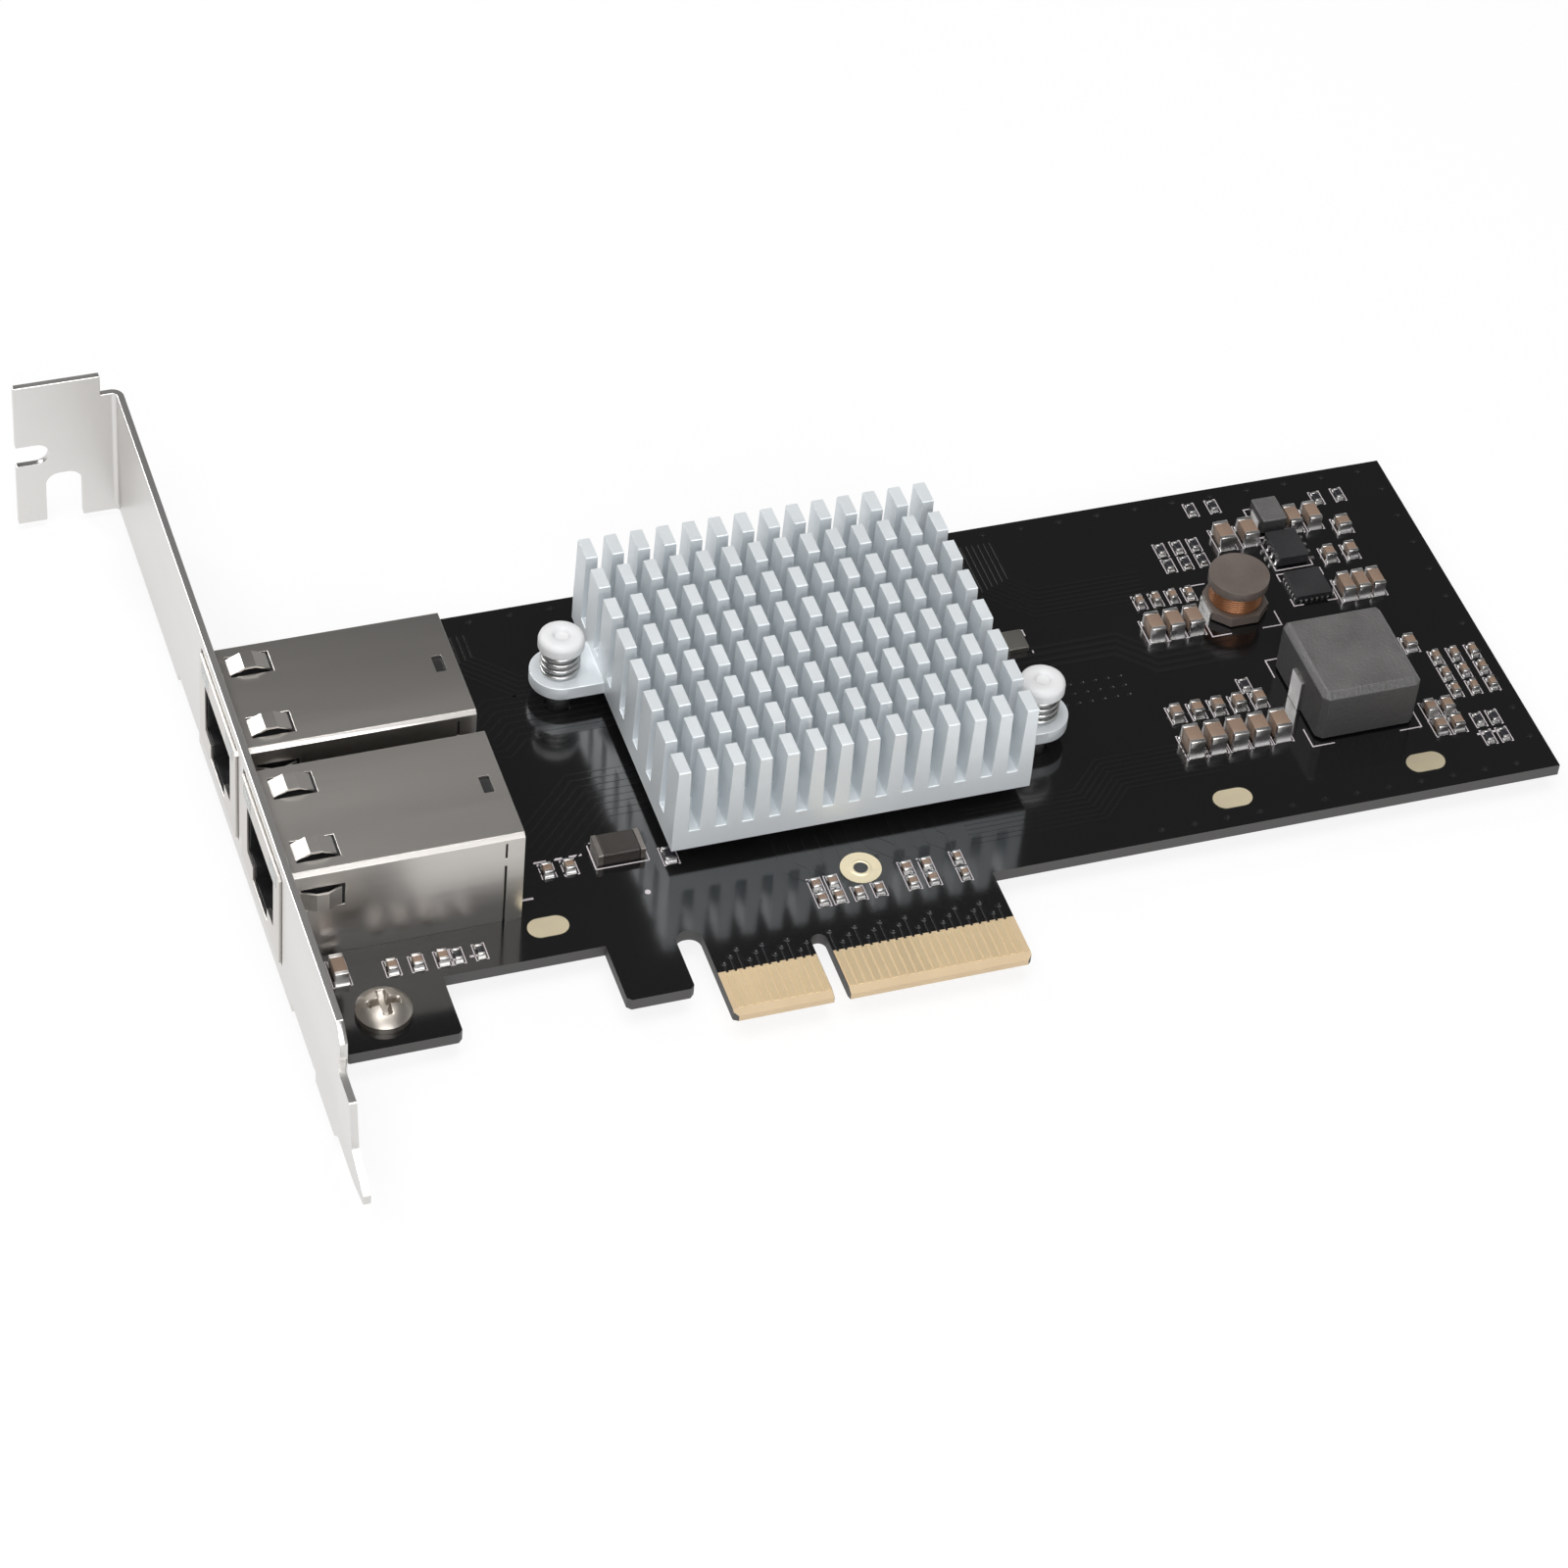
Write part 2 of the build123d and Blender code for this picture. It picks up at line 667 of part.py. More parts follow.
    # Light pipes: two clear bars on the floors of their channels
    with BuildPart() as lights:
        with BuildSketch(Plane.YZ.offset(jack_front)):
            with Locations((jack_y, light_rise)):
                with GridLocations(2 * light_offset, 1, 2, 1):
                    Rectangle(light_width, light_height, align=(Align.CENTER, Align.MIN))
        extrude(amount=housing_back - jack_front)
    save(lights, f"{name}_jack_lights")

    # Transformer module: the potted block that fills the back of the shield
    with BuildPart() as module:
        with BuildSketch(Plane.XY):
            with Locations((housing_back, jack_y)):
                Rectangle(
                    jack_back - shield_sheet - jack_play - housing_back,
                    insert_width,
                    align=(Align.MIN, Align.CENTER),
                )
        extrude(amount=insert_height)
    save(module, f"{name}_jack_transformer")

# Solder joints: the jacks' pins and shield tabs, wetted on the underside of the board
with BuildPart() as solder_joints:
    with BuildSketch(Plane.XY.offset(board_underside)):
        for _, jack_y in jacks:
            with Locations((jack_back - joint_setback, jack_y)):
                with GridLocations(joint_pitch_x, joint_pitch_y, joint_columns, joint_rows):
                    Rectangle(joint_size, joint_size)
            with Locations(*[(jack_front + setback, jack_y) for setback in tab_joint_setbacks]):
                with GridLocations(1, jack_width - shield_sheet, 1, 2):
                    Rectangle(joint_size, joint_size)
    extrude(amount=-joint_height)
save(solder_joints, "solder_joints")

# Heatsink: one casting with rows of tapered pins and two ears for the push pins
with BuildPart() as heatsink:
    with BuildSketch(Plane.XY.offset(heatsink_lift)):
        with Locations((chip_x, chip_y)):
            Rectangle(heatsink_length, heatsink_depth)
    extrude(amount=heatsink_base)
    with BuildSketch(Plane.XY.offset(heatsink_lift)):
        for side, (pin_x, pin_y) in zip((1, -1), pin_spots):
            with Locations((pin_x, pin_y)):
                Circle(heatsink_ear_radius)
            with Locations((pin_x + side * ear_pin_x / 4, pin_y)):
                Rectangle(ear_pin_x / 2, 2 * heatsink_ear_radius)
    extrude(amount=heatsink_ear_thickness)
    with BuildSketch(Plane.XZ.offset(-(chip_y + heatsink_depth / 2))):
        with Locations((chip_x, fin_base)):
            with GridLocations(fin_pitch, 1, fin_count, 1):
                Trapezoid(fin_root, fin_height, fin_angle, align=(Align.CENTER, Align.MIN))
    extrude(amount=heatsink_depth)
    with BuildSketch(Plane.XY.offset(fin_base)):
        with Locations((chip_x, chip_y)):
            with GridLocations(1, row_pitch, 1, row_count - 1):
                Rectangle(heatsink_length, row_pitch - row_length)
    extrude(amount=fin_height, mode=Mode.SUBTRACT)
    with BuildSketch(Plane.XY.offset(heatsink_lift)):
        with Locations(*pin_spots):
            Circle(pin_hole)
    extrude(amount=heatsink_ear_thickness, mode=Mode.SUBTRACT)
save(heatsink, "heatsink")

# Push pins: round heads over the springs, and split barbs that snap out under the board
with BuildPart() as push_pins:
    with BuildSketch(Plane.XY.offset(pin_head_base)):
        with Locations(*pin_spots):
            Circle(pin_head)
    extrude(amount=pin_head_height)
    chamfer(push_pins.edges().group_by(Axis.Z)[-1], pin_head_round)
    with BuildSketch(Plane.XY.offset(board_underside)):
        with Locations(*pin_spots):
            Circle(pin_shaft)
    extrude(amount=pin_head_base - board_underside)
    for pin_x, pin_y in pin_spots:
        with BuildSketch(Plane.XZ.offset(-pin_y)):
            for side in (-1, 1):
                with BuildLine():
                    Polyline(
                        (pin_x + side * barb_slot / 2, barb_end),
                        (pin_x + side * barb_tip, barb_end),
                        (pin_x + side * barb_reach, board_underside),
                        (pin_x + side * barb_slot / 2, board_underside),
                        close=True,
                    )
                make_face()
        extrude(amount=barb_thickness / 2, both=True)
save(push_pins, "push_pins")

# Push-pin springs: coiled wire between the ears of the heatsink and the heads
with BuildPart() as push_pin_springs:
    steps = spring_turns * spring_corners
    spring_lift = (pin_head_gap - 2 * spring_wire) / steps
    for pin_x, pin_y in pin_spots:
        bends = [
            (
                pin_x + spring_radius * cos(tau * step / spring_corners),
                pin_y + spring_radius * sin(tau * step / spring_corners),
                ear_top + spring_wire + spring_lift * step,
            )
            for step in range(steps + 1)
        ]
        with BuildLine() as coil:
            Polyline(*bends)
        with BuildSketch(Plane(coil.line @ 0, z_dir=coil.line % 0)):
            RegularPolygon(spring_wire, 4)
        sweep(path=coil.line, transition=Transition.RIGHT)
save(push_pin_springs, "push_pin_springs")

# Controller chip: the flat carrier and the bare die on it, with the thermal pad up to the heatsink
with BuildPart() as controller_chip:
    with BuildSketch(Plane.XY):
        with Locations((chip_x, chip_y)):
            Rectangle(substrate_size, substrate_size)
    extrude(amount=substrate_thickness)
    with BuildSketch(Plane.XY.offset(substrate_thickness)):
        with Locations((chip_x, chip_y)):
            Rectangle(die_size, die_size)
    extrude(amount=die_thickness)
save(controller_chip, "controller_chip")

with BuildPart() as thermal_pad:
    with BuildSketch(Plane.XY.offset(substrate_thickness + die_thickness)):
        with Locations((chip_x, chip_y)):
            Rectangle(die_size, die_size)
    extrude(until=Until.NEXT, target=heatsink.part)
save(thermal_pad, "thermal_pad")

# Main inductor: a moulded block with chamfered edges on two bent terminals
with BuildPart() as main_inductor:
    with BuildSketch(Plane.XY.offset(inductor_terminal_sheet)):
        with Locations(inductor_spot):
            Rectangle(inductor_length, inductor_width)
    extrude(amount=inductor_height)
    upright = main_inductor.edges().filter_by(Axis.Z)
    chamfer(upright + main_inductor.edges().group_by(Axis.Z)[-1], inductor_chamfer)
save(main_inductor, "main_inductor")

with BuildPart() as main_inductor_terminals:
    bent_terminals(
        inductor_spot,
        inductor_length,
        inductor_terminal_width,
        inductor_terminal_rise,
        inductor_terminal_foot,
        inductor_terminal_sheet,
    )
save(main_inductor_terminals, "main_inductor_terminals")

# Drum choke: a ferrite bobbin, its winding and two bent terminals
with BuildPart() as choke_core:
    with BuildSketch(Plane.XY.offset(choke_terminal_sheet)):
        with Locations(choke_spot):
            base = Rectangle(choke_base_size, choke_base_size)
        chamfer(base.vertices(), choke_base_corner)
    extrude(amount=choke_base_height)
    with BuildSketch(Plane.XY.offset(choke_window_base)):
        with Locations(choke_spot):
            RegularPolygon(choke_post_radius, choke_post_sides)
    extrude(amount=choke_window)
    with BuildSketch(Plane.XY.offset(choke_window_base + choke_window)):
        with Locations(choke_spot):
            Circle(choke_top_radius)
    extrude(amount=choke_top_height)
save(choke_core, "choke_core")

with BuildPart() as choke_winding:
    with BuildSketch(Plane.XY.offset(choke_window_base)):
        with Locations(choke_spot):
            Circle(choke_winding_radius)
            RegularPolygon(choke_post_radius, choke_post_sides, mode=Mode.SUBTRACT)
    extrude(amount=choke_window)
save(choke_winding, "choke_winding")

with BuildPart() as choke_terminals:
    bent_terminals(
        choke_spot,
        choke_base_size,
        choke_terminal_width,
        choke_terminal_rise,
        choke_terminal_foot,
        choke_terminal_sheet,
    )
save(choke_terminals, "choke_terminals")

# Small inductor: a moulded block on two bent terminals
with BuildPart() as small_inductor:
    with BuildSketch(Plane.XY.offset(small_terminal_sheet)):
        with Locations(small_inductor_spot):
            Rectangle(small_inductor_length, small_inductor_width)
    extrude(amount=small_inductor_height)
save(small_inductor, "small_inductor")

with BuildPart() as small_inductor_terminals:
    bent_terminals(
        small_inductor_spot,
        small_inductor_length,
        small_terminal_width,
        small_terminal_rise,
        small_terminal_foot,
        small_terminal_sheet,
    )
save(small_inductor_terminals, "small_inductor_terminals")

# Memory chip: a moulded body with four bent leads along each long side
with BuildPart() as memory_chip:
    with BuildSketch(Plane.XY.offset(memory_lift)):
        with Locations(memory_spot):
            Rectangle(memory_length, memory_width)
    extrude(amount=memory_height)
save(memory_chip, "memory_chip")

with BuildPart() as memory_chip_leads:
    memory_x, memory_y = memory_spot
    lead_rows = [memory_y + (row - (lead_count - 1) / 2) * lead_pitch for row in range(lead_count)]
    with BuildSketch(*[Plane.XZ.offset(-y) for y in lead_rows]):
        for side in (-1, 1):
            body_side = memory_x + side * memory_length / 2
            with BuildLine():
                Polyline(
                    (body_side + side * lead_sheet / 2, lead_rise),
                    (body_side + side * lead_sheet / 2, lead_sheet / 2),
                    (body_side + side * lead_foot, lead_sheet / 2),
                )
            trace(line_width=lead_sheet)
    extrude(amount=lead_width / 2, both=True)
save(memory_chip_leads, "memory_chip_leads")

# Regulator chip and crystal: flat packages soldered straight down
with BuildPart() as regulator_chip:
    with BuildSketch(Plane.XY):
        with Locations(regulator_spot):
            Rectangle(regulator_size, regulator_size)
    extrude(amount=regulator_height)
save(regulator_chip, "regulator_chip")

with BuildPart() as crystal:
    with BuildSketch(Plane.XY):
        with Locations(crystal_spot):
            Rectangle(crystal_length, crystal_width)
    extrude(amount=crystal_height)
save(crystal, "crystal")

# Ferrite bead: it lies along X, with a tinned end each side
with BuildPart() as ferrite_bead:
    with BuildSketch(Plane.XY):
        with Locations(bead_spot):
            Rectangle(bead_length, bead_width)
    extrude(amount=bead_height)
save(ferrite_bead, "ferrite_bead")

with BuildPart() as ferrite_bead_ends:
    with BuildSketch(Plane.XY):
        with Locations(bead_spot):
            with GridLocations(bead_length + bead_end, 1, 2, 1):
                Rectangle(bead_end, bead_width + 2 * bead_end_proud)
    extrude(amount=bead_height + bead_end_proud)
save(ferrite_bead_ends, "ferrite_bead_ends")

# Chip parts on the component side, by kind
for name, banks in (
    ("large_capacitors", large_banks),
    ("small_capacitors", small_banks),
    ("resistors", resistor_banks),
    ("coupling_capacitors", coupling_banks),
):
    with BuildPart() as chip_parts:
        blocks(banks)
    save(chip_parts, name)

# Decoupling capacitors on the underside, behind the controller chip
with BuildPart() as underside_capacitors:
    blocks(underside_banks, face=board_underside, direction=-1)
save(underside_capacitors, "underside_capacitors")
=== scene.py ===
from math import cos, hypot, radians, sin, tau

import bmesh
import bpy
from mathutils import Matrix, Vector


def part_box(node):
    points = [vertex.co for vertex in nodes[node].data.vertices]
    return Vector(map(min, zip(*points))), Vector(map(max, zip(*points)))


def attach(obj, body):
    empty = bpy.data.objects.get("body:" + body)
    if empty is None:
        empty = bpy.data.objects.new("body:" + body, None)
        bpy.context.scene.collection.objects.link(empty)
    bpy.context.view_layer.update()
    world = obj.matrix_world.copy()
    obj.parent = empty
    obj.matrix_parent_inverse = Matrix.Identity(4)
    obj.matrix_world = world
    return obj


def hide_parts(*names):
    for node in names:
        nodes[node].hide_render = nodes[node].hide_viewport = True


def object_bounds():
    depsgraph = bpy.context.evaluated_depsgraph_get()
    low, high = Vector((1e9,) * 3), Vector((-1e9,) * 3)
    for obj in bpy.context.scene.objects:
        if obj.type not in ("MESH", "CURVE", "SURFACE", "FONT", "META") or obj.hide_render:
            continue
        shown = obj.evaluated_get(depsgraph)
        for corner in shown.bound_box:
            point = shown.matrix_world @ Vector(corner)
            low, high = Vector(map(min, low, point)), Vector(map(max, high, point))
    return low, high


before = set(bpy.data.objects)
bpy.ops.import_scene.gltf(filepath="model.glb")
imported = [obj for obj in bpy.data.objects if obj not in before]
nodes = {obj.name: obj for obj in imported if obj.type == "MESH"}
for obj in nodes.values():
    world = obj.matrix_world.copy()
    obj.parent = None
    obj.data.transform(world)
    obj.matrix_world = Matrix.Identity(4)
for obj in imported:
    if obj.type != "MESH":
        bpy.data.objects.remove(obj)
cad_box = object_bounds()
scene = bpy.context.scene

# Shapes are in millimetres, and the board's component face is at z 0
MM = 0.001
TOP, UNDER = 0.0, -1.57


# Shaders

RELIEF_DEPTH = 0.0001
CUT_EDGE_ROUGHNESS = 0.62
LOWEST_ROUGHNESS = 0.02
CLOUD_DETAIL, GRAIN_DETAIL = 4.0, 3.0
CLOUD_LOW, CLOUD_HIGH = 0.3, 0.7


def add(tree, kind, values=None):
    """A new shader node, with some of its sockets set."""
    node = tree.nodes.new("ShaderNode" + kind)
    for socket, value in (values or {}).items():
        node.inputs[socket].default_value = value
    return node


def colour_mix(tree, factor, one, two):
    """An output that runs between two colours, either of which may be another node's output."""
    node = add(tree, "Mix")
    node.data_type = "RGBA"
    tree.links.new(factor, node.inputs[0])
    for socket, source in ((node.inputs[6], one), (node.inputs[7], two)):
        if isinstance(source, tuple):
            socket.default_value = (*source, 1)
        else:
            tree.links.new(source, socket)
    return node.outputs[2]


def shader(name, colour, tint, rough, grain, metal=0.0, ior=1.5, transmission=0.0, grain_scale=900,
           wear=0.08, wear_scale=60, stretch=(1, 1, 1), edge=None):
    """A material whose colour, roughness and relief vary as the real finish does. An edge colour on upright
    faces shows a panel's cut core, and on the ferrite it is painted shade.
    """
    mat = bpy.data.materials.new(name)
    mat.use_nodes = True
    tree = mat.node_tree
    tree.nodes.clear()
    link = tree.links.new
    bsdf = add(tree, "BsdfPrincipled", {"Metallic": metal, "IOR": ior, "Transmission Weight": transmission})
    link(bsdf.outputs[0], add(tree, "OutputMaterial").inputs[0])
    place = add(tree, "TexCoord")
    fit = add(tree, "Mapping", {"Scale": stretch})
    link(place.outputs["Object"], fit.inputs[0])

    cloud = add(tree, "TexNoise", {"Scale": wear_scale, "Detail": CLOUD_DETAIL})
    link(fit.outputs[0], cloud.inputs["Vector"])
    paint = colour_mix(tree, cloud.outputs["Fac"], colour, tint)
    spread = add(tree, "MapRange", {
        "From Min": CLOUD_LOW, "From Max": CLOUD_HIGH,
        "To Min": max(rough - wear, LOWEST_ROUGHNESS), "To Max": min(rough + wear, 1.0),
    })
    link(cloud.outputs["Fac"], spread.inputs[0])
    roughness = spread.outputs[0]
    if edge:
        # The cut edges of a panel show its core. On the ferrite the darker upright faces are painted shade,
        # which leaves its top lighter.
        facing = add(tree, "SeparateXYZ")
        link(place.outputs["Normal"], facing.inputs[0])
        flat = add(tree, "Math")
        flat.operation = "ABSOLUTE"
        link(facing.outputs["Z"], flat.inputs[0])
        paint = colour_mix(tree, flat.outputs[0], edge, paint)
        cut = add(tree, "Mix", {2: CUT_EDGE_ROUGHNESS})
        link(flat.outputs[0], cut.inputs[0])
        link(roughness, cut.inputs[3])
        roughness = cut.outputs[0]
    link(paint, bsdf.inputs["Base Color"])
    link(roughness, bsdf.inputs["Roughness"])

    fine = add(tree, "TexNoise", {"Scale": grain_scale, "Detail": GRAIN_DETAIL})
    link(fit.outputs[0], fine.inputs["Vector"])
    bump = add(tree, "Bump", {"Strength": grain, "Distance": RELIEF_DEPTH})
    link(fine.outputs["Fac"], bump.inputs["Height"])
    link(bump.outputs[0], bsdf.inputs["Normal"])
    return mat


# Board and plating
mask = shader("solder_mask", (0.0024, 0.0023, 0.0024), (0.004, 0.0039, 0.004), 0.12, 0.05, ior=1.9,
              grain_scale=260, wear=0.03, wear_scale=35, edge=(0.016, 0.0145, 0.013))
traces = shader("traces", (0.0045, 0.0045, 0.0048), (0.007, 0.007, 0.0074), 0.15, 0.05, ior=1.9, wear=0.03)
bare = shader("bare_laminate", (0.56, 0.43, 0.27), (0.48, 0.36, 0.22), 0.5, 0.3, grain_scale=1600,
              wear_scale=200)
gold = shader("gold_plate", (0.95, 0.76, 0.49), (0.90, 0.70, 0.43), 0.42, 0.08, metal=0.85, grain_scale=1500,
              stretch=(1, 0.15, 1))
pale_gold = shader("pale_gold_plate", (0.93, 0.83, 0.60), (0.86, 0.75, 0.52), 0.42, 0.08, metal=0.8)
tin = shader("tinned_solder", (0.74, 0.73, 0.72), (0.62, 0.61, 0.60), 0.3, 0.25, metal=1.0, grain_scale=1400,
             wear_scale=300)
dull_tin = shader("dull_tin", (0.30, 0.275, 0.255), (0.23, 0.21, 0.195), 0.42, 0.25, metal=1.0,
                  grain_scale=1400, wear_scale=300)
legend = shader("legend_ink", (0.56, 0.51, 0.53), (0.46, 0.42, 0.44), 0.55, 0.3, grain_scale=2500,
                wear_scale=500)

# Metal parts
bracket_steel = shader("nickelled_steel", (0.74, 0.73, 0.71), (0.67, 0.655, 0.64), 0.27, 0.12, metal=1.0,
                       grain_scale=1100, wear_scale=40, stretch=(1, 0.06, 1))
shield_steel = shader("shield_nickel", (0.66, 0.635, 0.605), (0.56, 0.535, 0.505), 0.31, 0.12, metal=1.0,
                      grain_scale=1300, wear=0.05, wear_scale=45, stretch=(0.08, 1, 1))
spring_steel = shader("spring_steel", (0.66, 0.66, 0.65), (0.528, 0.528, 0.52), 0.25, 0.1, metal=1.0)
screw_nickel = shader("screw_nickel", (0.58, 0.54, 0.49), (0.48, 0.445, 0.40), 0.36, 0.15, metal=1.0,
                      wear_scale=250)
cast = shader("heatsink_aluminium", (0.765, 0.805, 0.83), (0.715, 0.755, 0.78), 0.45, 0.35, metal=0.4,
              grain_scale=1800, wear_scale=90)
lid = shader("crystal_lid", (0.62, 0.60, 0.55), (0.55, 0.53, 0.48), 0.3, 0.1, metal=1.0)
enamel = shader("winding_enamel", (0.26, 0.105, 0.045), (0.36, 0.16, 0.075), 0.25, 0.1, metal=0.6,
                wear_scale=350)

# Mouldings and ceramics
nylon = shader("white_nylon", (0.70, 0.705, 0.71), (0.63, 0.635, 0.64), 0.45, 0.15, grain_scale=700)
clear = shader("light_pipe", (0.80, 0.85, 0.82), (0.72, 0.80, 0.76), 0.12, 0.05, transmission=0.6)
black = shader("black_moulding", (0.009, 0.009, 0.010), (0.015, 0.015, 0.016), 0.42, 0.5, grain_scale=2200,
               wear_scale=120)
package = shader("chip_package", (0.012, 0.012, 0.014), (0.02, 0.02, 0.022), 0.45, 0.6, grain_scale=3000,
                 wear_scale=200)
carrier = shader("chip_carrier", (0.015, 0.05, 0.03), (0.02, 0.065, 0.04), 0.35, 0.1)
soft_pad = shader("thermal_pad", (0.35, 0.38, 0.4), (0.3, 0.33, 0.35), 0.7, 0.4)
# Its edge colour paints shade on the upright sides, so the top reads lighter
ferrite = shader("pressed_ferrite", (0.062, 0.060, 0.059), (0.088, 0.085, 0.083), 0.5, 0.8, ior=1.9,
                 grain_scale=2600, wear_scale=260, edge=(0.014, 0.013, 0.0125))
bead_ferrite = shader("bead_ferrite", (0.022, 0.018, 0.016), (0.034, 0.028, 0.024), 0.42, 0.6,
                      grain_scale=2400, wear_scale=220)
brown_ferrite = shader("bobbin_ferrite", (0.085, 0.066, 0.056), (0.12, 0.094, 0.08), 0.42, 0.6, ior=1.8,
                       grain_scale=2400, wear_scale=220)
ceramic = shader("brown_ceramic", (0.27, 0.19, 0.14), (0.19, 0.13, 0.095), 0.36, 0.3, grain_scale=2600,
                 wear_scale=400)
glaze = shader("resistor_glaze", (0.016, 0.016, 0.02), (0.03, 0.03, 0.035), 0.22, 0.2, grain_scale=2200)

node_materials = {
    "circuit_board": mask, "edge_contacts": gold, "plated_pads": pale_gold, "bracket": bracket_steel,
    "bracket_screws": screw_nickel, "solder_joints": tin, "heatsink": cast, "push_pins": nylon,
    "push_pin_springs": spring_steel, "controller_chip": carrier, "thermal_pad": soft_pad,
    "main_inductor": ferrite, "main_inductor_terminals": tin, "choke_core": brown_ferrite,
    "choke_winding": enamel, "choke_terminals": tin, "small_inductor": ferrite,
    "small_inductor_terminals": tin, "memory_chip": package, "memory_chip_leads": tin,
    "regulator_chip": package, "crystal": lid, "ferrite_bead": bead_ferrite, "ferrite_bead_ends": dull_tin,
    "large_capacitors": ceramic, "small_capacitors": ceramic, "coupling_capacitors": ceramic,
    "underside_capacitors": ceramic, "resistors": glaze,
}
for jack in ("near_jack_", "far_jack_"):
    node_materials[jack + "shield"] = shield_steel
    node_materials[jack + "housing"] = black
    node_materials[jack + "contacts"] = gold
    node_materials[jack + "lights"] = clear
    node_materials[jack + "transformer"] = black
for node, mat in node_materials.items():
    nodes[node].data.materials.clear()
    nodes[node].data.materials.append(mat)


# Reading the frame

MICROMETRES_PER_METRE = 1e6
MICROMETRES_PER_MM = 1000


def boxes(node):
    """The lowest and the highest corner of each solid of a CAD node."""
    mesh = nodes[node].data
    # Vertices at one place share a key
    keys = [tuple(round(c * MICROMETRES_PER_METRE) for c in vertex.co) for vertex in mesh.vertices]
    parent = {key: key for key in keys}

    def root(key):
        while parent[key] != key:
            parent[key] = parent[parent[key]]
            key = parent[key]
        return key

    for polygon in mesh.polygons:
        first = keys[polygon.vertices[0]]
        for index in polygon.vertices[1:]:
            parent[root(keys[index])] = root(first)
    groups = {}
    for key in parent:
        groups.setdefault(root(key), []).append(key)
    found = []
    for members in groups.values():
        low, high = (Vector([end(axis) / MICROMETRES_PER_MM for axis in zip(*members)]) for end in (min, max))
        found.append((low, high))
    return sorted(found, key=lambda pair: (round(pair[0].x, 2), round(pair[0].y, 2)))


def whole_box(node):
    """The lowest and the highest corner of a CAD node."""
    return [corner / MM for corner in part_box(node)]


def centre(low, high):
    """The middle of a box, seen from above."""
    return (low.x + high.x) / 2, (low.y + high.y) / 2


# Mesh helpers

def piece(name, bm, mat, replaces=(), smooth=0):
    """Turns a mesh in millimetres into a piece of the object."""
    bmesh.ops.recalc_face_normals(bm, faces=bm.faces)
    mesh = bpy.data.meshes.new(name)
    bm.to_mesh(mesh)
    bm.free()
    mesh.transform(Matrix.Scale(MM, 4))
    if smooth:
        mesh.polygons.foreach_set("use_smooth", [True] * len(mesh.polygons))
        mesh.set_sharp_from_angle(angle=radians(smooth))
    mesh.materials.append(mat)
    obj = bpy.data.objects.new(name, mesh)
    scene.collection.objects.link(obj)
    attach(obj, "root")
    if replaces:
        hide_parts(*replaces)


def wall(bm, one, two):
    """Faces between two closed loops of vertices."""
    for i in range(len(one)):
        j = (i + 1) % len(one)
        bm.faces.new((one[i], one[j], two[j], two[i]))


def solid(bm, one, two):
    """A closed body between two outlines with as many points."""
    loops = [[bm.verts.new(point) for point in outline] for outline in (one, two)]
    for loop in loops:
        bm.faces.new(loop)
    wall(bm, *loops)


def block(bm, one, two):
    """A plain box between two opposite corners."""
    x0, y0, z0 = map(min, one, two)
    x1, y1, z1 = map(max, one, two)
    outline = [(x0, y0), (x1, y0), (x1, y1), (x0, y1)]
    solid(bm, [(x, y, z0) for x, y in outline], [(x, y, z1) for x, y in outline])


def skin(bm, corners, offset):
    """A thin sheet: a flat outline and the same one moved by an offset."""
    solid(bm, corners, [Vector(corner) + Vector(offset) for corner in corners])


def soften(bm, offset):
    """Rounds every edge of what is in the mesh so far."""
    bmesh.ops.recalc_face_normals(bm, faces=bm.faces)
    bmesh.ops.bevel(bm, geom=bm.edges[:], offset=offset, segments=2, affect="EDGES", profile=0.5)


def circle(bm, x, y, z, radius, steps):
    """A level ring of vertices."""
    return [bm.verts.new((x + radius * cos(tau * k / steps), y + radius * sin(tau * k / steps), z))
            for k in range(steps)]


def fan(bm, tip, ring):
    """Faces from one vertex to a ring."""
    for k in range(len(ring)):
        bm.faces.new((tip, ring[k], ring[(k + 1) % len(ring)]))


def lathe(bm, axis, base, profile, steps=40):
    """A turned form: profile is (radius, height over base), and a radius of 0 is a pole."""
    x, y = axis
    rings = []
    for radius, height in profile:
        rings.append(circle(bm, x, y, base + height, radius, steps if radius else 1))
    for one, two in zip(rings, rings[1:]):
        if len(one) == 1:
            fan(bm, one[0], two)
        elif len(two) == 1:
            fan(bm, two[0], one)
        else:
            wall(bm, one, two)


def coil(axis, radius, wire, low, high, turns, steps, flat=0.0):
    """The line of a wire wound between two heights. Its ends lie level for a share of its length."""
    x, y = axis
    points = []
    for step in range(int(turns * steps) + 1):
        t = step / (turns * steps)
        rise = min(max((t - flat) / (1 - 2 * flat), 0), 1)
        angle = tau * turns * t
        z = low + wire + rise * (high - low - 2 * wire)
        points.append(Vector((x + radius * cos(angle), y + radius * sin(angle), z)))
    return points


def tube(bm, points, radius, sides=10):
    """A round wire along a line of points that is nowhere upright."""
    rings = []
    for i, point in enumerate(points):
        along = (points[min(i + 1, len(points) - 1)] - points[max(i - 1, 0)]).normalized()
        across = along.cross(Vector((0, 0, 1))).normalized()
        up = across.cross(along).normalized()
        angles = [tau * k / sides for k in range(sides)]
        rings.append([bm.verts.new(point + radius * (cos(a) * across + sin(a) * up)) for a in angles])
    for one, two in zip(rings, rings[1:]):
        wall(bm, one, two)
    bm.faces.new(rings[0])
    bm.faces.new(rings[-1])


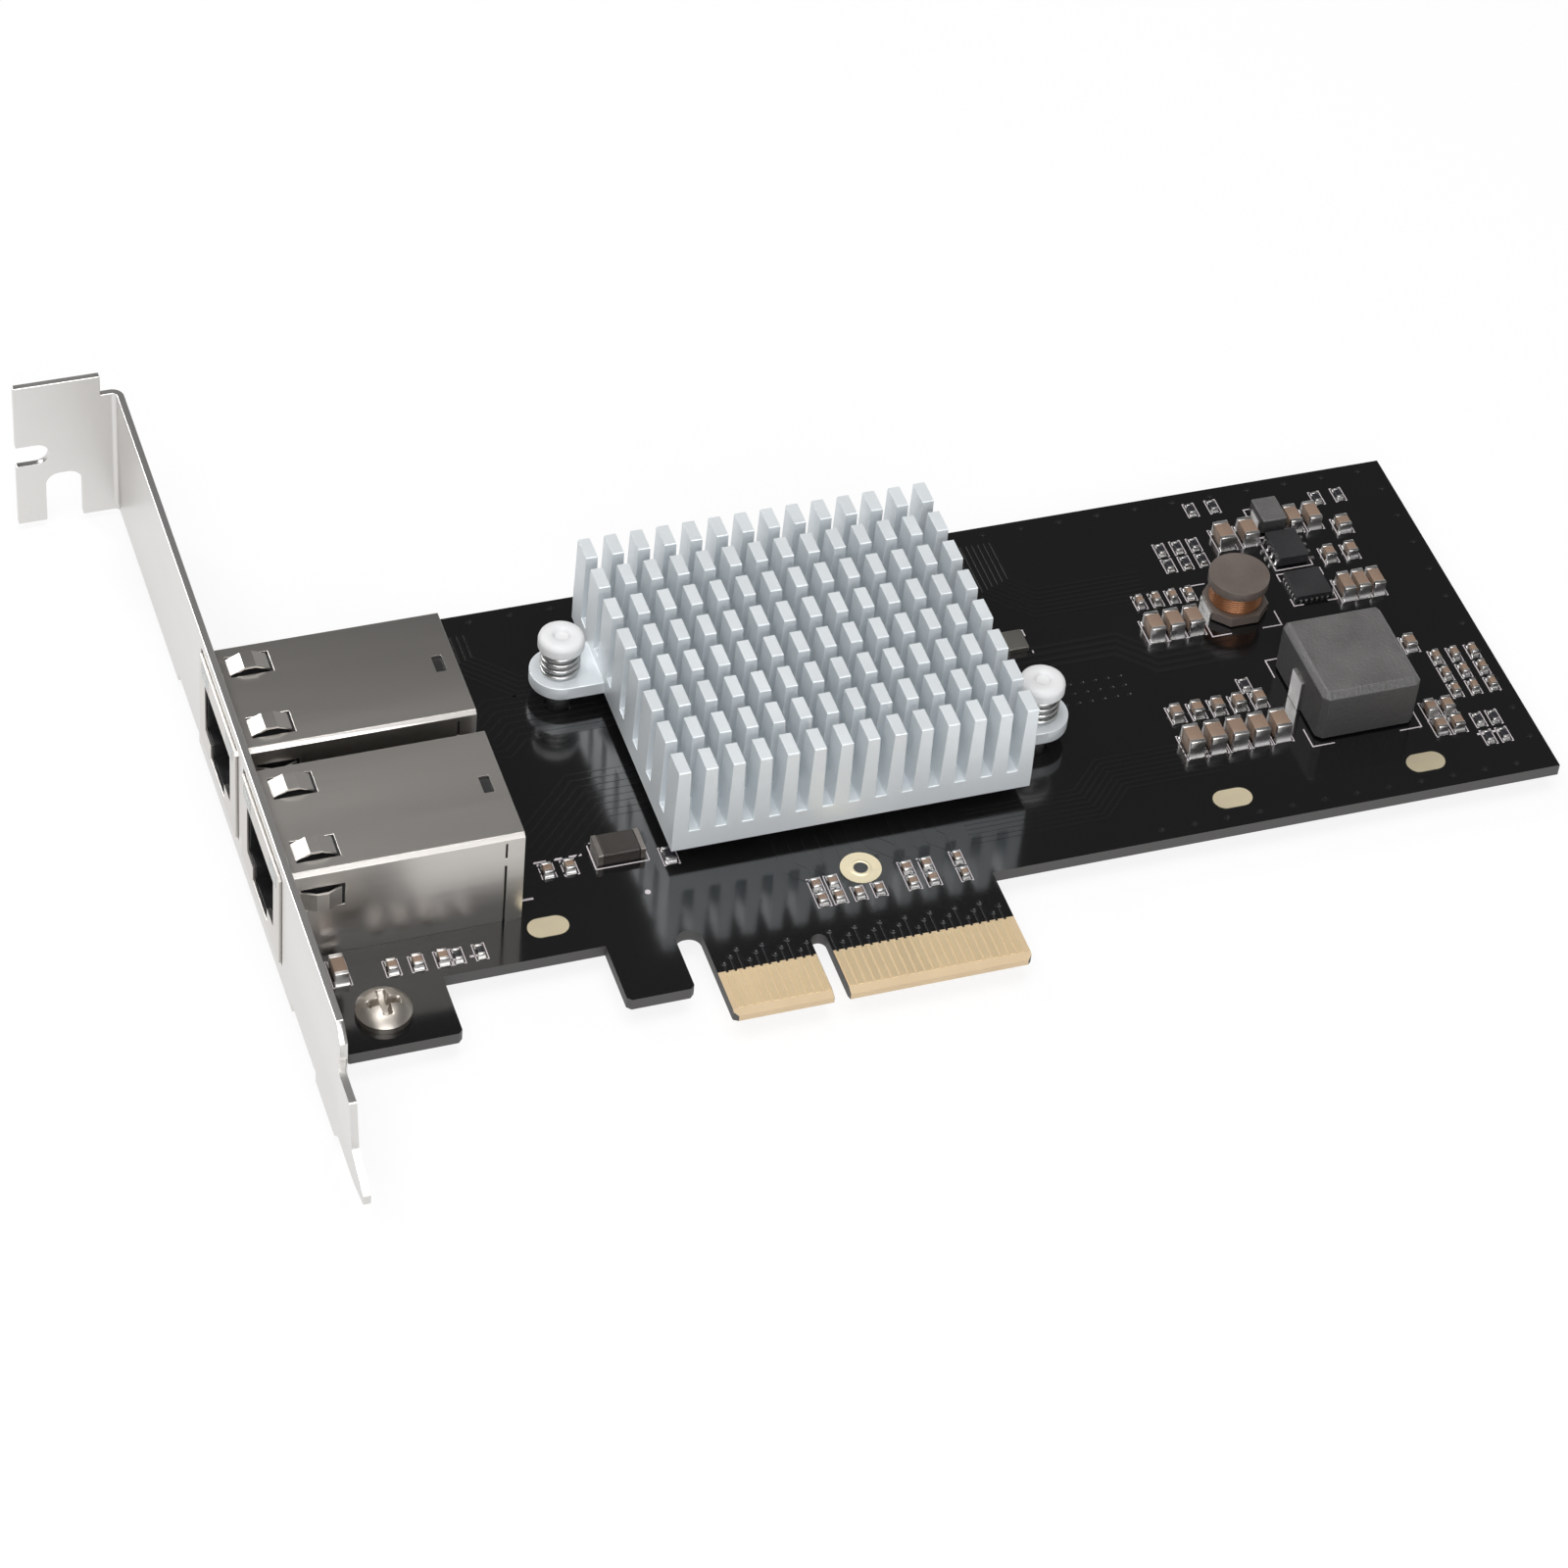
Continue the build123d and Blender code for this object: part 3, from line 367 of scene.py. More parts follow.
def shifted(points, distance):
    """A line of (x, y) points moved sideways, with its bends kept parallel."""
    points = [Vector(point) for point in points]
    moved = []
    for i, point in enumerate(points):
        ahead = points[min(i + 1, len(points) - 1)] - point
        behind = point - points[max(i - 1, 0)]
        ahead = (ahead if ahead.length else behind).normalized()
        behind = (behind if behind.length else ahead).normalized()
        middle = (ahead + behind).normalized()
        normal = Vector((-middle.y, middle.x))
        moved.append(point + normal * distance / normal.dot(Vector((-ahead.y, ahead.x))))
    return moved


def ribbon(bm, points, width, low, high):
    """A flat track along a line of (x, y) points, with mitred bends."""
    outline = shifted(points, width / 2) + shifted(points, -width / 2)[::-1]
    loops = [[bm.verts.new((*point, z)) for point in outline] for z in (low, high)]
    for i in range(len(points) - 1):
        for loop in loops:
            bm.faces.new((loop[i], loop[i + 1], loop[-2 - i], loop[-1 - i]))
    wall(bm, *loops)


def bus(bm, points, count, pitch, width, low, high):
    """Parallel tracks that bend together."""
    for k in range(count):
        ribbon(bm, shifted(points, (k - (count - 1) / 2) * pitch), width, low, high)


# Broken edges on the CAD nodes that keep their shape

WELD_DISTANCE = 1e-6
SHARPEST_KEPT = 35
edge_widths = {
    "heatsink": 0.09, "bracket": 0.08, "near_jack_shield": 0.05, "far_jack_shield": 0.05,
    "near_jack_housing": 0.08, "far_jack_housing": 0.08, "edge_contacts": 0.02,
    "main_inductor": 0.12, "main_inductor_terminals": 0.06, "choke_core": 0.15, "choke_terminals": 0.04,
    "small_inductor": 0.15, "small_inductor_terminals": 0.04, "ferrite_bead": 0.15, "ferrite_bead_ends": 0.1,
    "memory_chip": 0.1, "regulator_chip": 0.08, "crystal": 0.1,
}
for node, width in edge_widths.items():
    weld = nodes[node].modifiers.new("weld", "WELD")
    weld.merge_threshold = WELD_DISTANCE
    edges = nodes[node].modifiers.new("edges", "BEVEL")
    edges.width = width * MM
    edges.segments = 2
    edges.limit_method = "ANGLE"
    edges.angle_limit = radians(SHARPEST_KEPT)


# Chip parts

LONGEST_END, END_ROUND = 0.55, 0.09
BODY_LIFT, BODY_SETBACK, BODY_ROUND = 0.02, 0.03, 0.07
# Shares of the tinned end
BODY_START, PAD_END = 0.6, 0.9
WEDGE_REACH, WEDGE_CLIMB, WEDGE_SETBACK = 0.3, 0.6, 0.02
WEDGE_STEPS, WEDGE_FALL, WEDGE_RISE = (0, 0.35, 0.7, 1), 2, 1.6
PAD_REACH, PAD_MARGIN, PAD_HEIGHT = 0.36, 0.06, 0.025


def chip_parts(node, mat, end_share):
    """Each chip part as a soft-edged body with tinned ends, solder wedges and pads."""
    bodies, ends, solder = bmesh.new(), bmesh.new(), bmesh.new()
    for low, high in boxes(node):
        base, top, up = (high.z, low.z, -1) if high.z < 0 else (low.z, high.z, 1)
        end_length = min(end_share * (high.y - low.y), LONGEST_END)
        body_start = BODY_START * end_length
        block(bodies, (low.x + BODY_SETBACK, low.y + body_start, base + up * BODY_LIFT),
              (high.x - BODY_SETBACK, high.y - body_start, top - up * BODY_SETBACK))
        climb = WEDGE_CLIMB * (top - base)
        for tip, away in ((low.y, -1), (high.y, 1)):
            block(ends, (low.x, tip, base), (high.x, tip - away * end_length, top))
            line = [(tip - away * WEDGE_SETBACK, base)]
            for t in WEDGE_STEPS:
                out = WEDGE_REACH * (1 - t) ** WEDGE_FALL
                line.append((tip + away * out, base + climb * t ** WEDGE_RISE))
            solid(solder, [(low.x + WEDGE_SETBACK, y, z) for y, z in line],
                  [(high.x - WEDGE_SETBACK, y, z) for y, z in line])
            block(solder, (low.x - PAD_MARGIN, tip + away * PAD_REACH, base),
                  (high.x + PAD_MARGIN, tip - away * PAD_END * end_length, base + up * PAD_HEIGHT))
    soften(bodies, BODY_ROUND)
    soften(ends, END_ROUND)
    caps_name = node.removesuffix("s") + "_caps"
    piece(node + "_bodies", bodies, mat, replaces=(node,), smooth=40)
    piece(caps_name, ends, tin, smooth=40)
    piece(caps_name + "_solder", solder, tin, smooth=50)


chip_parts("large_capacitors", ceramic, 0.19)
chip_parts("small_capacitors", ceramic, 0.24)
chip_parts("resistors", glaze, 0.2)
chip_parts("coupling_capacitors", ceramic, 0.24)
chip_parts("underside_capacitors", ceramic, 0.24)


# Bracket screws

HEAD_STEPS, HEAD_RINGS = 72, 26
HEAD_BASE = 0.02
DOME_DROP, DOME_POWER = 0.62, 2.6
RECESS_REACH, RECESS_DEPTH, RECESS_SLOPE = 1.9, 1.25, 3.2
RECESS_HALF_WIDTH, RECESS_WALL = 0.51, 0.14
THREAD_CREST, THREAD_ROOT, THREAD_PITCH = 1.44, 1.22, 0.4
SHAFT_TIP_RADIUS, FIRST_CREST, SHAFT_TOP = 1.1, 0.12, 0.05


def relief(x, y, radius, height):
    """The height of a domed screw head with a cross recess, at a point from its middle."""
    dome = height * (1 - DOME_DROP * (hypot(x, y) / radius) ** DOME_POWER)
    across, along = sorted((abs(x), abs(y)))
    side = min(max((RECESS_HALF_WIDTH - across) / RECESS_WALL, 0), 1)
    floor_depth = min(RECESS_DEPTH, RECESS_SLOPE * max(0.0, 1 - along / RECESS_REACH))
    return dome - side * floor_depth


def screw_head(bm, x, y, radius, height):
    """A domed head with a cross recess, as one relief over a round grid."""
    rings = []
    for ring in range(1, HEAD_RINGS + 1):
        rings.append(circle(bm, x, y, 0.0, radius * ring / HEAD_RINGS, HEAD_STEPS))
        for vertex in rings[-1]:
            vertex.co.z = relief(vertex.co.x - x, vertex.co.y - y, radius, height)
    fan(bm, bm.verts.new((x, y, relief(0, 0, radius, height))), rings[0])
    rings.append(circle(bm, x, y, HEAD_BASE, radius, HEAD_STEPS))
    for one, two in zip(rings, rings[1:]):
        wall(bm, one, two)
    bm.faces.new(rings[-1])


screws = bmesh.new()
for low, high in boxes("bracket_screws"):
    x, y = centre(low, high)
    screw_head(screws, x, y, (high.x - low.x) / 2, high.z)
    # The thread, as fine ridges on the shaft
    profile = [(0, low.z), (SHAFT_TIP_RADIUS, low.z)]
    z = low.z + FIRST_CREST
    while z < -SHAFT_TOP:
        profile += [(THREAD_CREST, z), (THREAD_ROOT, z + THREAD_PITCH / 2)]
        z += THREAD_PITCH
    profile += [(THREAD_CREST, 0.0), (THREAD_CREST, SHAFT_TOP), (0, SHAFT_TOP)]
    lathe(screws, (x, y), 0.0, profile)
piece("screw_heads", screws, screw_nickel, replaces=("bracket_screws",), smooth=38)


# Push pins and their springs

SHANK_RADIUS, COLLAR_RADIUS, COLLAR_HEIGHT = 1.35, 1.6, 0.4
PIN_HEAD_HEIGHT, PIN_HEAD_EDGE = 1.8, 0.15
PIN_HEAD_ROUND = ((0, 0.75), (0.12, 0.38), (0.42, 0.12), (0.85, 0))    # in from the rim, down from the top
PIN_DIMPLE = ((1.15, 0), (0.95, 0.12), (0.8, 0.45), (0, 0.45))         # radius, down from the top
SLOT_HALF_WIDTH, BARB_HALF_THICKNESS = 0.35, 1.2
BARB_TIP, BARB_TIP_WIDE, BARB_TIP_HEIGHT = 0.85, 1.05, 0.12
BARB_REACH, BARB_EDGE_REACH, BARB_EDGE_Z = 1.95, 1.92, -1.75
SPRING_WIRE, SPRING_RADIUS, SPRING_TURNS, SPRING_FLAT = 0.25, 2.15, 4.5, 0.12

pins = bmesh.new()
springs = bmesh.new()
ear_top = whole_box("push_pin_springs")[0].z
for low, high in boxes("push_pins"):
    x, y = centre(low, high)
    reach = (high.x - low.x) / 2
    head = high.z - PIN_HEAD_HEIGHT
    profile = [(0, UNDER), (SHANK_RADIUS, UNDER), (SHANK_RADIUS, head - COLLAR_HEIGHT), (COLLAR_RADIUS, head),
               (reach - PIN_HEAD_EDGE, head), (reach, head + PIN_HEAD_EDGE)]
    profile += [(reach - inward, high.z - down) for inward, down in PIN_HEAD_ROUND]
    profile += [(radius, high.z - down) for radius, down in PIN_DIMPLE]
    lathe(pins, (x, y), 0.0, profile, 48)
    barb = ((SLOT_HALF_WIDTH, low.z), (BARB_TIP, low.z), (BARB_TIP_WIDE, low.z + BARB_TIP_HEIGHT),
            (BARB_EDGE_REACH, BARB_EDGE_Z), (BARB_REACH, UNDER), (SLOT_HALF_WIDTH, UNDER))
    for side in (-1, 1):
        solid(pins, *([(x + side * px, y + depth, pz) for px, pz in barb]
                      for depth in (-BARB_HALF_THICKNESS, BARB_HALF_THICKNESS)))
    tube(springs, coil((x, y), SPRING_RADIUS, SPRING_WIRE, ear_top, head, SPRING_TURNS, 28, SPRING_FLAT),
         SPRING_WIRE)
piece("push_pin_heads", pins, nylon, replaces=("push_pins",), smooth=35)
piece("wound_springs", springs, spring_steel, replaces=("push_pin_springs",), smooth=60)


# Choke winding

WINDING_TURNS, WIRE_SHARE = 7, 0.98
POST_RADIUS, SLEEVE_INSET = 1.7, 0.01

winding = bmesh.new()
low, high = whole_box("choke_winding")
axis = centre(low, high)
wire = (high.z - low.z) / WINDING_TURNS / 2
line_radius = (high.x - low.x) / 2 - wire
tube(winding, coil(axis, line_radius, wire, low.z, high.z, WINDING_TURNS, 36), wire * WIRE_SHARE)
# The inner layers, as one sleeve behind the outer turns
inner_low, inner_high = low.z + SLEEVE_INSET, high.z - SLEEVE_INSET
lathe(winding, axis, 0.0, [(POST_RADIUS, inner_low), (line_radius, inner_low), (line_radius, inner_high),
                           (POST_RADIUS, inner_high), (POST_RADIUS, inner_low)])
piece("choke_turns", winding, enamel, replaces=("choke_winding",), smooth=60)


# Solder cones under the board

CONE_FOOT = ((0, 0), (1.0, 0), (1.0, 0.03), (0.75, 0.12), (0.55, 0.3), (0.42, 0.55))   # share of radius, down
CONE_TIP = ((0.32, 0.05), (0.22, 0), (0, 0))                                           # share of radius, up

joints = bmesh.new()
for low, high in boxes("solder_joints"):
    half = (high.x - low.x) / 2
    profile = [(half * share, high.z - down) for share, down in CONE_FOOT]
    profile += [(half * share, low.z + up) for share, up in CONE_TIP]
    lathe(joints, centre(low, high), 0.0, profile, 24)
piece("solder_cones", joints, tin, replaces=("solder_joints",), smooth=60)


# Tracks and vias

TRACK_HEIGHT = 0.03
ESCAPE_WIDTH, LANE_WIDTH, PAIR_WIDTH = 0.28, 0.22, 0.24
VIA_RADIUS, SMALL_VIA_RADIUS = 0.42, 0.3
VIA_CREST, VIA_DIMPLE = 0.035, 0.005
CREST_SHARE, DIMPLE_SHARE = 0.55, 0.4
ESCAPE_LENGTHS = (1.0, 1.9, 2.8)
ESCAPE_VIA_GAP = 0.3
LANE_START, LANE_PITCH, LANE_STRAIGHT, LANE_STAGGER = 3.0, 1.75, 1.6, 0.55
PAIR_COUNT, PAIR_PITCH, PAIR_STRAIGHT = 8, 1.05, 4.5
PAIR_AIMS = {"near_jack_shield": 36.5, "far_jack_shield": 50.5}
# Runs across the open board: the line, the number of tracks, their pitch and their width
TOP_RUNS = (
    ([(22.0, 21.0), (37.5, 21.0), (41.5, 25.0), (55.0, 25.0)], 8, 0.75, 0.26),
    ([(39.0, 66.0), (39.0, 58.5), (43.0, 54.5), (57.0, 54.5)], 7, 0.75, 0.26),
    ([(-27.0, 65.5), (-27.0, 61.0), (-21.5, 55.5), (-18.5, 55.5)], 5, 0.8, 0.26),
    ([(31.0, 45.5), (50.0, 45.5), (54.0, 41.5), (64.0, 41.5)], 4, 1.1, 0.6),
)
# Vias along the top edge, down the far edge, low on the board and in the open middle
EDGE_VIA_STEP, LOW_VIA_STEP, OPEN_VIA_STEP = 5.0, 4.1, 1.6
TOP_VIAS_START, TOP_VIAS_INSET, FAR_VIAS_INSET = 16.5, 1.3, 1.4
LOW_VIAS_START, LOW_VIAS_HEIGHT = 50.0, 15.0
OPEN_VIAS = (40.5, 37.0)


def via(bm, x, y, radius=VIA_RADIUS, face=TOP, up=1):
    """A via under the mask: a low ring round a dimple."""
    lathe(bm, (x, y), face, [
        (radius, 0), (radius, up * TRACK_HEIGHT), (radius * CREST_SHARE, up * VIA_CREST),
        (radius * DIMPLE_SHARE, up * VIA_DIMPLE), (0, up * VIA_DIMPLE),
    ], 14)


def via_grid(bm, x, y, columns, rows, step_x, step_y, radius=VIA_RADIUS, face=TOP, up=1):
    """Vias in columns and rows from one corner on."""
    for column in range(columns):
        for row in range(rows):
            via(bm, x + column * step_x, y + row * step_y, radius, face, up)


contacts = sorted(((low.x + high.x) / 2, high.y) for low, high in boxes("edge_contacts") if high.z > 0)
lanes = sorted(((low.x + high.x) / 2, high.y) for low, high in boxes("coupling_capacitors"))
chip_low = whole_box("controller_chip")[0]
board_low, board_high = whole_box("circuit_board")

tracks = bmesh.new()
for i, (x, y) in enumerate(contacts):
    end = y + ESCAPE_LENGTHS[i % 3]
    ribbon(tracks, [(x, y), (x, end)], ESCAPE_WIDTH, TOP, TRACK_HEIGHT)
    via(tracks, x, end + ESCAPE_VIA_GAP)
for i, (x, y) in enumerate(lanes):
    target = chip_low.x + LANE_START + i * LANE_PITCH
    bend = y + LANE_STRAIGHT + (i % 4) * LANE_STAGGER
    straightened = bend + abs(target - x)
    line = [(x, y), (x, chip_low.y)]
    if straightened < chip_low.y:
        line = [(x, y), (x, bend), (target, straightened), (target, chip_low.y)]
    ribbon(tracks, line, LANE_WIDTH, TOP, TRACK_HEIGHT)
for shield, aim in PAIR_AIMS.items():
    low, high = whole_box(shield)
    middle = (low.y + high.y) / 2
    bend = high.x + PAIR_STRAIGHT
    bus(tracks, [(high.x, middle), (bend, middle), (bend + abs(aim - middle), aim), (chip_low.x, aim)],
        PAIR_COUNT, PAIR_PITCH, PAIR_WIDTH, TOP, TRACK_HEIGHT)
for run in TOP_RUNS:
    bus(tracks, *run, TOP, TRACK_HEIGHT)
via_grid(tracks, board_low.x + TOP_VIAS_START, board_high.y - TOP_VIAS_INSET, 27, 1, EDGE_VIA_STEP, 0)
via_grid(tracks, board_high.x - FAR_VIAS_INSET, board_high.y - EDGE_VIA_STEP, 1, 10, 0, -EDGE_VIA_STEP)
via_grid(tracks, board_high.x - LOW_VIAS_START, board_low.y + LOW_VIAS_HEIGHT, 12, 1, LOW_VIA_STEP, 0)
via_grid(tracks, *OPEN_VIAS, 6, 3, OPEN_VIA_STEP, OPEN_VIA_STEP, SMALL_VIA_RADIUS)
piece("tracks", tracks, traces, smooth=30)


# Tracks and vias under the board

UNDER_TRACK = UNDER - TRACK_HEIGHT
TAIL_START, TAIL_END = 6.2, 9.2
# Two long runs whose tracks start at a staggered row of vias, and a wide one
LONG_COUNT = 14
COLUMN_START, COLUMN_PITCH, COLUMN_VIA_GAP, COLUMN_VIA_STAGGER = (-20.0, 20.0), 0.8, 0.6, 0.7
ROW_START, ROW_PITCH, ROW_VIA_GAP, ROW_VIA_STAGGER = (24.0, 26.0), 0.85, 0.8, 0.8
UNDER_RUNS = (
    ([COLUMN_START, (-20.0, 33.0), (-11.0, 42.0), (-11.0, 62.0)], LONG_COUNT, COLUMN_PITCH, 0.28),
    ([ROW_START, (42.0, 26.0), (50.0, 34.0), (84.0, 34.0)], LONG_COUNT, ROW_PITCH, 0.3),
    ([(26.0, 58.0), (60.0, 58.0), (66.0, 52.0), (86.0, 52.0)], 6, 1.5, 0.8),
)
CHIP_VIA_INSET, CHIP_VIA_STEP = 4.5, 2.0

under_tracks = bmesh.new()
for run in UNDER_RUNS:
    bus(under_tracks, *run, UNDER_TRACK, UNDER)
for k in range(LONG_COUNT):
    aside = k - (LONG_COUNT - 1) / 2
    column_gap = COLUMN_VIA_GAP + (k % 2) * COLUMN_VIA_STAGGER
    via(under_tracks, COLUMN_START[0] + aside * COLUMN_PITCH, COLUMN_START[1] - column_gap,
        SMALL_VIA_RADIUS, UNDER, -1)
    row_gap = ROW_VIA_GAP + (k % 2) * ROW_VIA_STAGGER
    via(under_tracks, ROW_START[0] - row_gap, ROW_START[1] + aside * ROW_PITCH,
        SMALL_VIA_RADIUS, UNDER, -1)
for i, (x, y) in enumerate(contacts):
    end = TAIL_END + i % 3
    ribbon(under_tracks, [(x, TAIL_START), (x, end)], ESCAPE_WIDTH, UNDER_TRACK, UNDER)
    via(under_tracks, x, end + ESCAPE_VIA_GAP, VIA_RADIUS, UNDER, -1)
via_grid(under_tracks, chip_low.x + CHIP_VIA_INSET, chip_low.y + CHIP_VIA_INSET, 9, 9, CHIP_VIA_STEP,
         CHIP_VIA_STEP, SMALL_VIA_RADIUS, UNDER, -1)
piece("underside_tracks", under_tracks, traces, smooth=30)


# Printed outlines

INK = 0.022
FRAME_LINE, BRACKET_LINE, DASH_LINE = 0.16, 0.12, 0.3
BRACKET_GAP, BRACKET_RETURN, BRACKET_REACH = 0.3, 0.22, 0.42
# Round which node, how far out, and the share of each side that stays open
FRAMES = (
    ("memory_chip", 0.5, 0.0), ("regulator_chip", 0.55, 0.55), ("crystal", 0.5, 0.5),
    ("small_inductor", 0.5, 0.5), ("main_inductor", 0.7, 0.6), ("ferrite_bead_ends", 0.35, 0.0),
    ("controller_chip", 0.8, 0.75), ("choke_core", 0.8, 0.45),
)
DOT_RADIUS = 0.35
DOTS = ((61.6, 47.2), (69.8, 51.7), (36.2, 47.3), (-16.5, 20.2))
DASHES = (
    (-27.8, 27.6, 1.5), (-25.4, 27.6, 1.0), (-23.6, 27.6, 1.5), (86.5, 20.6, 1.2), (88.3, 20.6, 1.2),
    (-41.0, 15.6, 1.4), (-38.6, 15.6, 1.4), (-30.6, 22.4, 1.3),
)


def ink_frame(bm, x0, y0, x1, y1, gap):
    """A printed rectangle, whole or open in the middle of its sides."""
    corners = [(x0, y0), (x1, y0), (x1, y1), (x0, y1)]
    if not gap:
        for one, two in zip(corners, corners[1:] + corners[:1]):
            ribbon(bm, [one, two], FRAME_LINE, TOP, INK)
        return
    middle_x, middle_y = (x0 + x1) / 2, (y0 + y1) / 2
    for x, y in corners:
        ribbon(bm, [(middle_x + (x - middle_x) * gap, y), (x, y), (x, middle_y + (y - middle_y) * gap)],
               FRAME_LINE, TOP, INK)


ink = bmesh.new()
for node, margin, gap in FRAMES:
    low, high = whole_box(node)
    ink_frame(ink, low.x - margin, low.y - margin, high.x + margin, high.y + margin, gap)
for node in ("large_capacitors", "small_capacitors", "resistors", "coupling_capacitors"):
    for low, high in boxes(node):
        y0, y1 = low.y - BRACKET_REACH, high.y + BRACKET_REACH
        for x, inward in ((low.x - BRACKET_GAP, BRACKET_RETURN), (high.x + BRACKET_GAP, -BRACKET_RETURN)):
            ribbon(ink, [(x + inward, y0), (x, y0), (x, y1), (x + inward, y1)], BRACKET_LINE, TOP, INK)
for dot in DOTS:
    lathe(ink, dot, TOP, [(0, 0), (DOT_RADIUS, 0), (DOT_RADIUS, INK), (0, INK)], 20)
for x, y, length in DASHES:
    ribbon(ink, [(x, y), (x + length, y)], DASH_LINE, TOP, INK)
piece("printed_outlines", ink, legend)


# The plated hole in the round pad: a rolled rim round a shallow dark dish, which is painted shade standing in
# for the depth of the bore

RIM = ((0.82, 0.004), (0.86, 0.03), (1.0, 0.045), (1.2, 0.03), (1.3, -0.01), (0.82, -0.01), (0.82, 0.004))
# A dish in the dark mask colour, painted shade in place of the open bore
SHADE_DISH = ((0, 0.002), (0.5, 0.004), (0.84, 0.012), (0.84, -0.02), (0, -0.02))

# The disc is the one pad that is no longer than it is wide
disc_low, disc_high = min(boxes("plated_pads"), key=lambda pad: (pad[1].x - pad[0].x) / (pad[1].y - pad[0].y))
for name, profile, mat in (("plated_hole_rim", RIM, pale_gold), ("plated_hole_painted_shade", SHADE_DISH, mask)):
    hole = bmesh.new()
    lathe(hole, centre(disc_low, disc_high), disc_high.z, profile)
    piece(name, hole, mat, smooth=40)


# Bare laminate between and beyond the edge contacts

SKIN, BEVEL_SKIN = 0.012, 0.005
TAB_SIDES = (-12.6, 22.6)
NOTCH_SIDE = 0.98
BEVEL_LENGTH, BEVEL_DEPTH = 0.9, 0.4
CORNER_CUT = 0.5
BARE_TOP = 6.45

bare_strip = bmesh.new()
for outer in TAB_SIDES:
    side = 1 if outer > 0 else -1
    inner = side * NOTCH_SIDE
    cut = outer - side * CORNER_CUT
    for face, out in ((TOP, 1), (UNDER, -1)):
        tip = face - out * BEVEL_DEPTH
        corner = face - out * BEVEL_DEPTH * (BEVEL_LENGTH - CORNER_CUT) / BEVEL_LENGTH
        skin(bare_strip, [
            (outer, BEVEL_LENGTH, face), (inner, BEVEL_LENGTH, face), (inner, BARE_TOP, face),
            (outer, BARE_TOP, face),
        ], (0, 0, out * SKIN))
        skin(bare_strip, [
            (inner, BEVEL_LENGTH, face), (inner, 0, tip), (cut, 0, tip), (outer, CORNER_CUT, corner),
            (outer, BEVEL_LENGTH, face),
        ], (0, -BEVEL_SKIN, out * SKIN))
    upper, lower = TOP - BEVEL_DEPTH, UNDER + BEVEL_DEPTH
    skin(bare_strip, [(cut, 0, upper), (inner, 0, upper), (inner, 0, lower), (cut, 0, lower)], (0, -SKIN, 0))
piece("bare_contact_edge", bare_strip, bare)


# Small detail on the packages

MARK = ((0, -0.01), (0.28, -0.01), (0.34, 0.012), (0.4, 0.002), (0, -0.02))
MARK_INSET = 0.75
PAD_COUNT, PAD_PITCH, FIRST_PAD = 6, 0.7, 0.55
PAD_HALF_WIDTH, PAD_OUT, PAD_IN, PAD_TOP, PAD_ROUND = 0.14, 0.12, 0.02, 0.28, 0.03

mark = bmesh.new()
low, high = whole_box("memory_chip")
lathe(mark, (low.x + MARK_INSET, low.y + MARK_INSET), high.z, MARK, 24)
piece("memory_chip_mark", mark, package, smooth=40)

pads = bmesh.new()
low, high = whole_box("regulator_chip")
for k in range(PAD_COUNT):
    for along, across in ((0, 1), (1, 0)):
        middle = low[across] + FIRST_PAD + k * PAD_PITCH
        for edge, out in ((low[along], -1), (high[along], 1)):
            one, two = [0, 0, 0], [0, 0, PAD_TOP]
            one[along], two[along] = edge - out * PAD_IN, edge + out * PAD_OUT
            one[across], two[across] = middle - PAD_HALF_WIDTH, middle + PAD_HALF_WIDTH
            block(pads, one, two)
soften(pads, PAD_ROUND)
piece("regulator_chip_pads", pads, tin, smooth=40)


# Floor and world

FLOOR_GAP = 0.00002
FLOOR_GREY, FLOOR_GLOW = 0.86, 0.85
# Height on the sky's ramp and grey
SKY_ENDS = ((0.0, 0.95), (0.5, 0.09))
SKY_MIDDLE = (0.25, 0.5)

bpy.ops.mesh.primitive_plane_add(size=6, location=(0.02, 0.05, cad_box[0].z - FLOOR_GAP))
floor = bpy.context.object
floor.name = "floor"


def paper():
    """White paper, which glows a little for the camera and in reflections, and keeps the shadow."""
    mat = bpy.data.materials.new("paper")
    mat.use_nodes = True
    tree = mat.node_tree
    tree.nodes.clear()
    link = tree.links.new
    path = add(tree, "LightPath")
    seen = path.outputs["Is Camera Ray"]
    for ray in ("Is Glossy Ray", "Is Transmission Ray"):
        either = add(tree, "Math")
        either.operation = "MAXIMUM"
        link(seen, either.inputs[0])
        link(path.outputs[ray], either.inputs[1])
        seen = either.outputs[0]
    share = add(tree, "Math", {1: FLOOR_GLOW})
    share.operation = "MULTIPLY"
    link(seen, share.inputs[0])
    mix = add(tree, "MixShader")
    link(share.outputs[0], mix.inputs[0])
    matt = add(tree, "BsdfDiffuse", {"Color": (FLOOR_GREY, FLOOR_GREY, FLOOR_GREY, 1)})
    glow = add(tree, "Emission", {"Color": (1, 1, 1, 1), "Strength": 1.0})
    link(matt.outputs[0], mix.inputs[1])
    link(glow.outputs[0], mix.inputs[2])
    link(mix.outputs[0], add(tree, "OutputMaterial").inputs[0])
    return mat


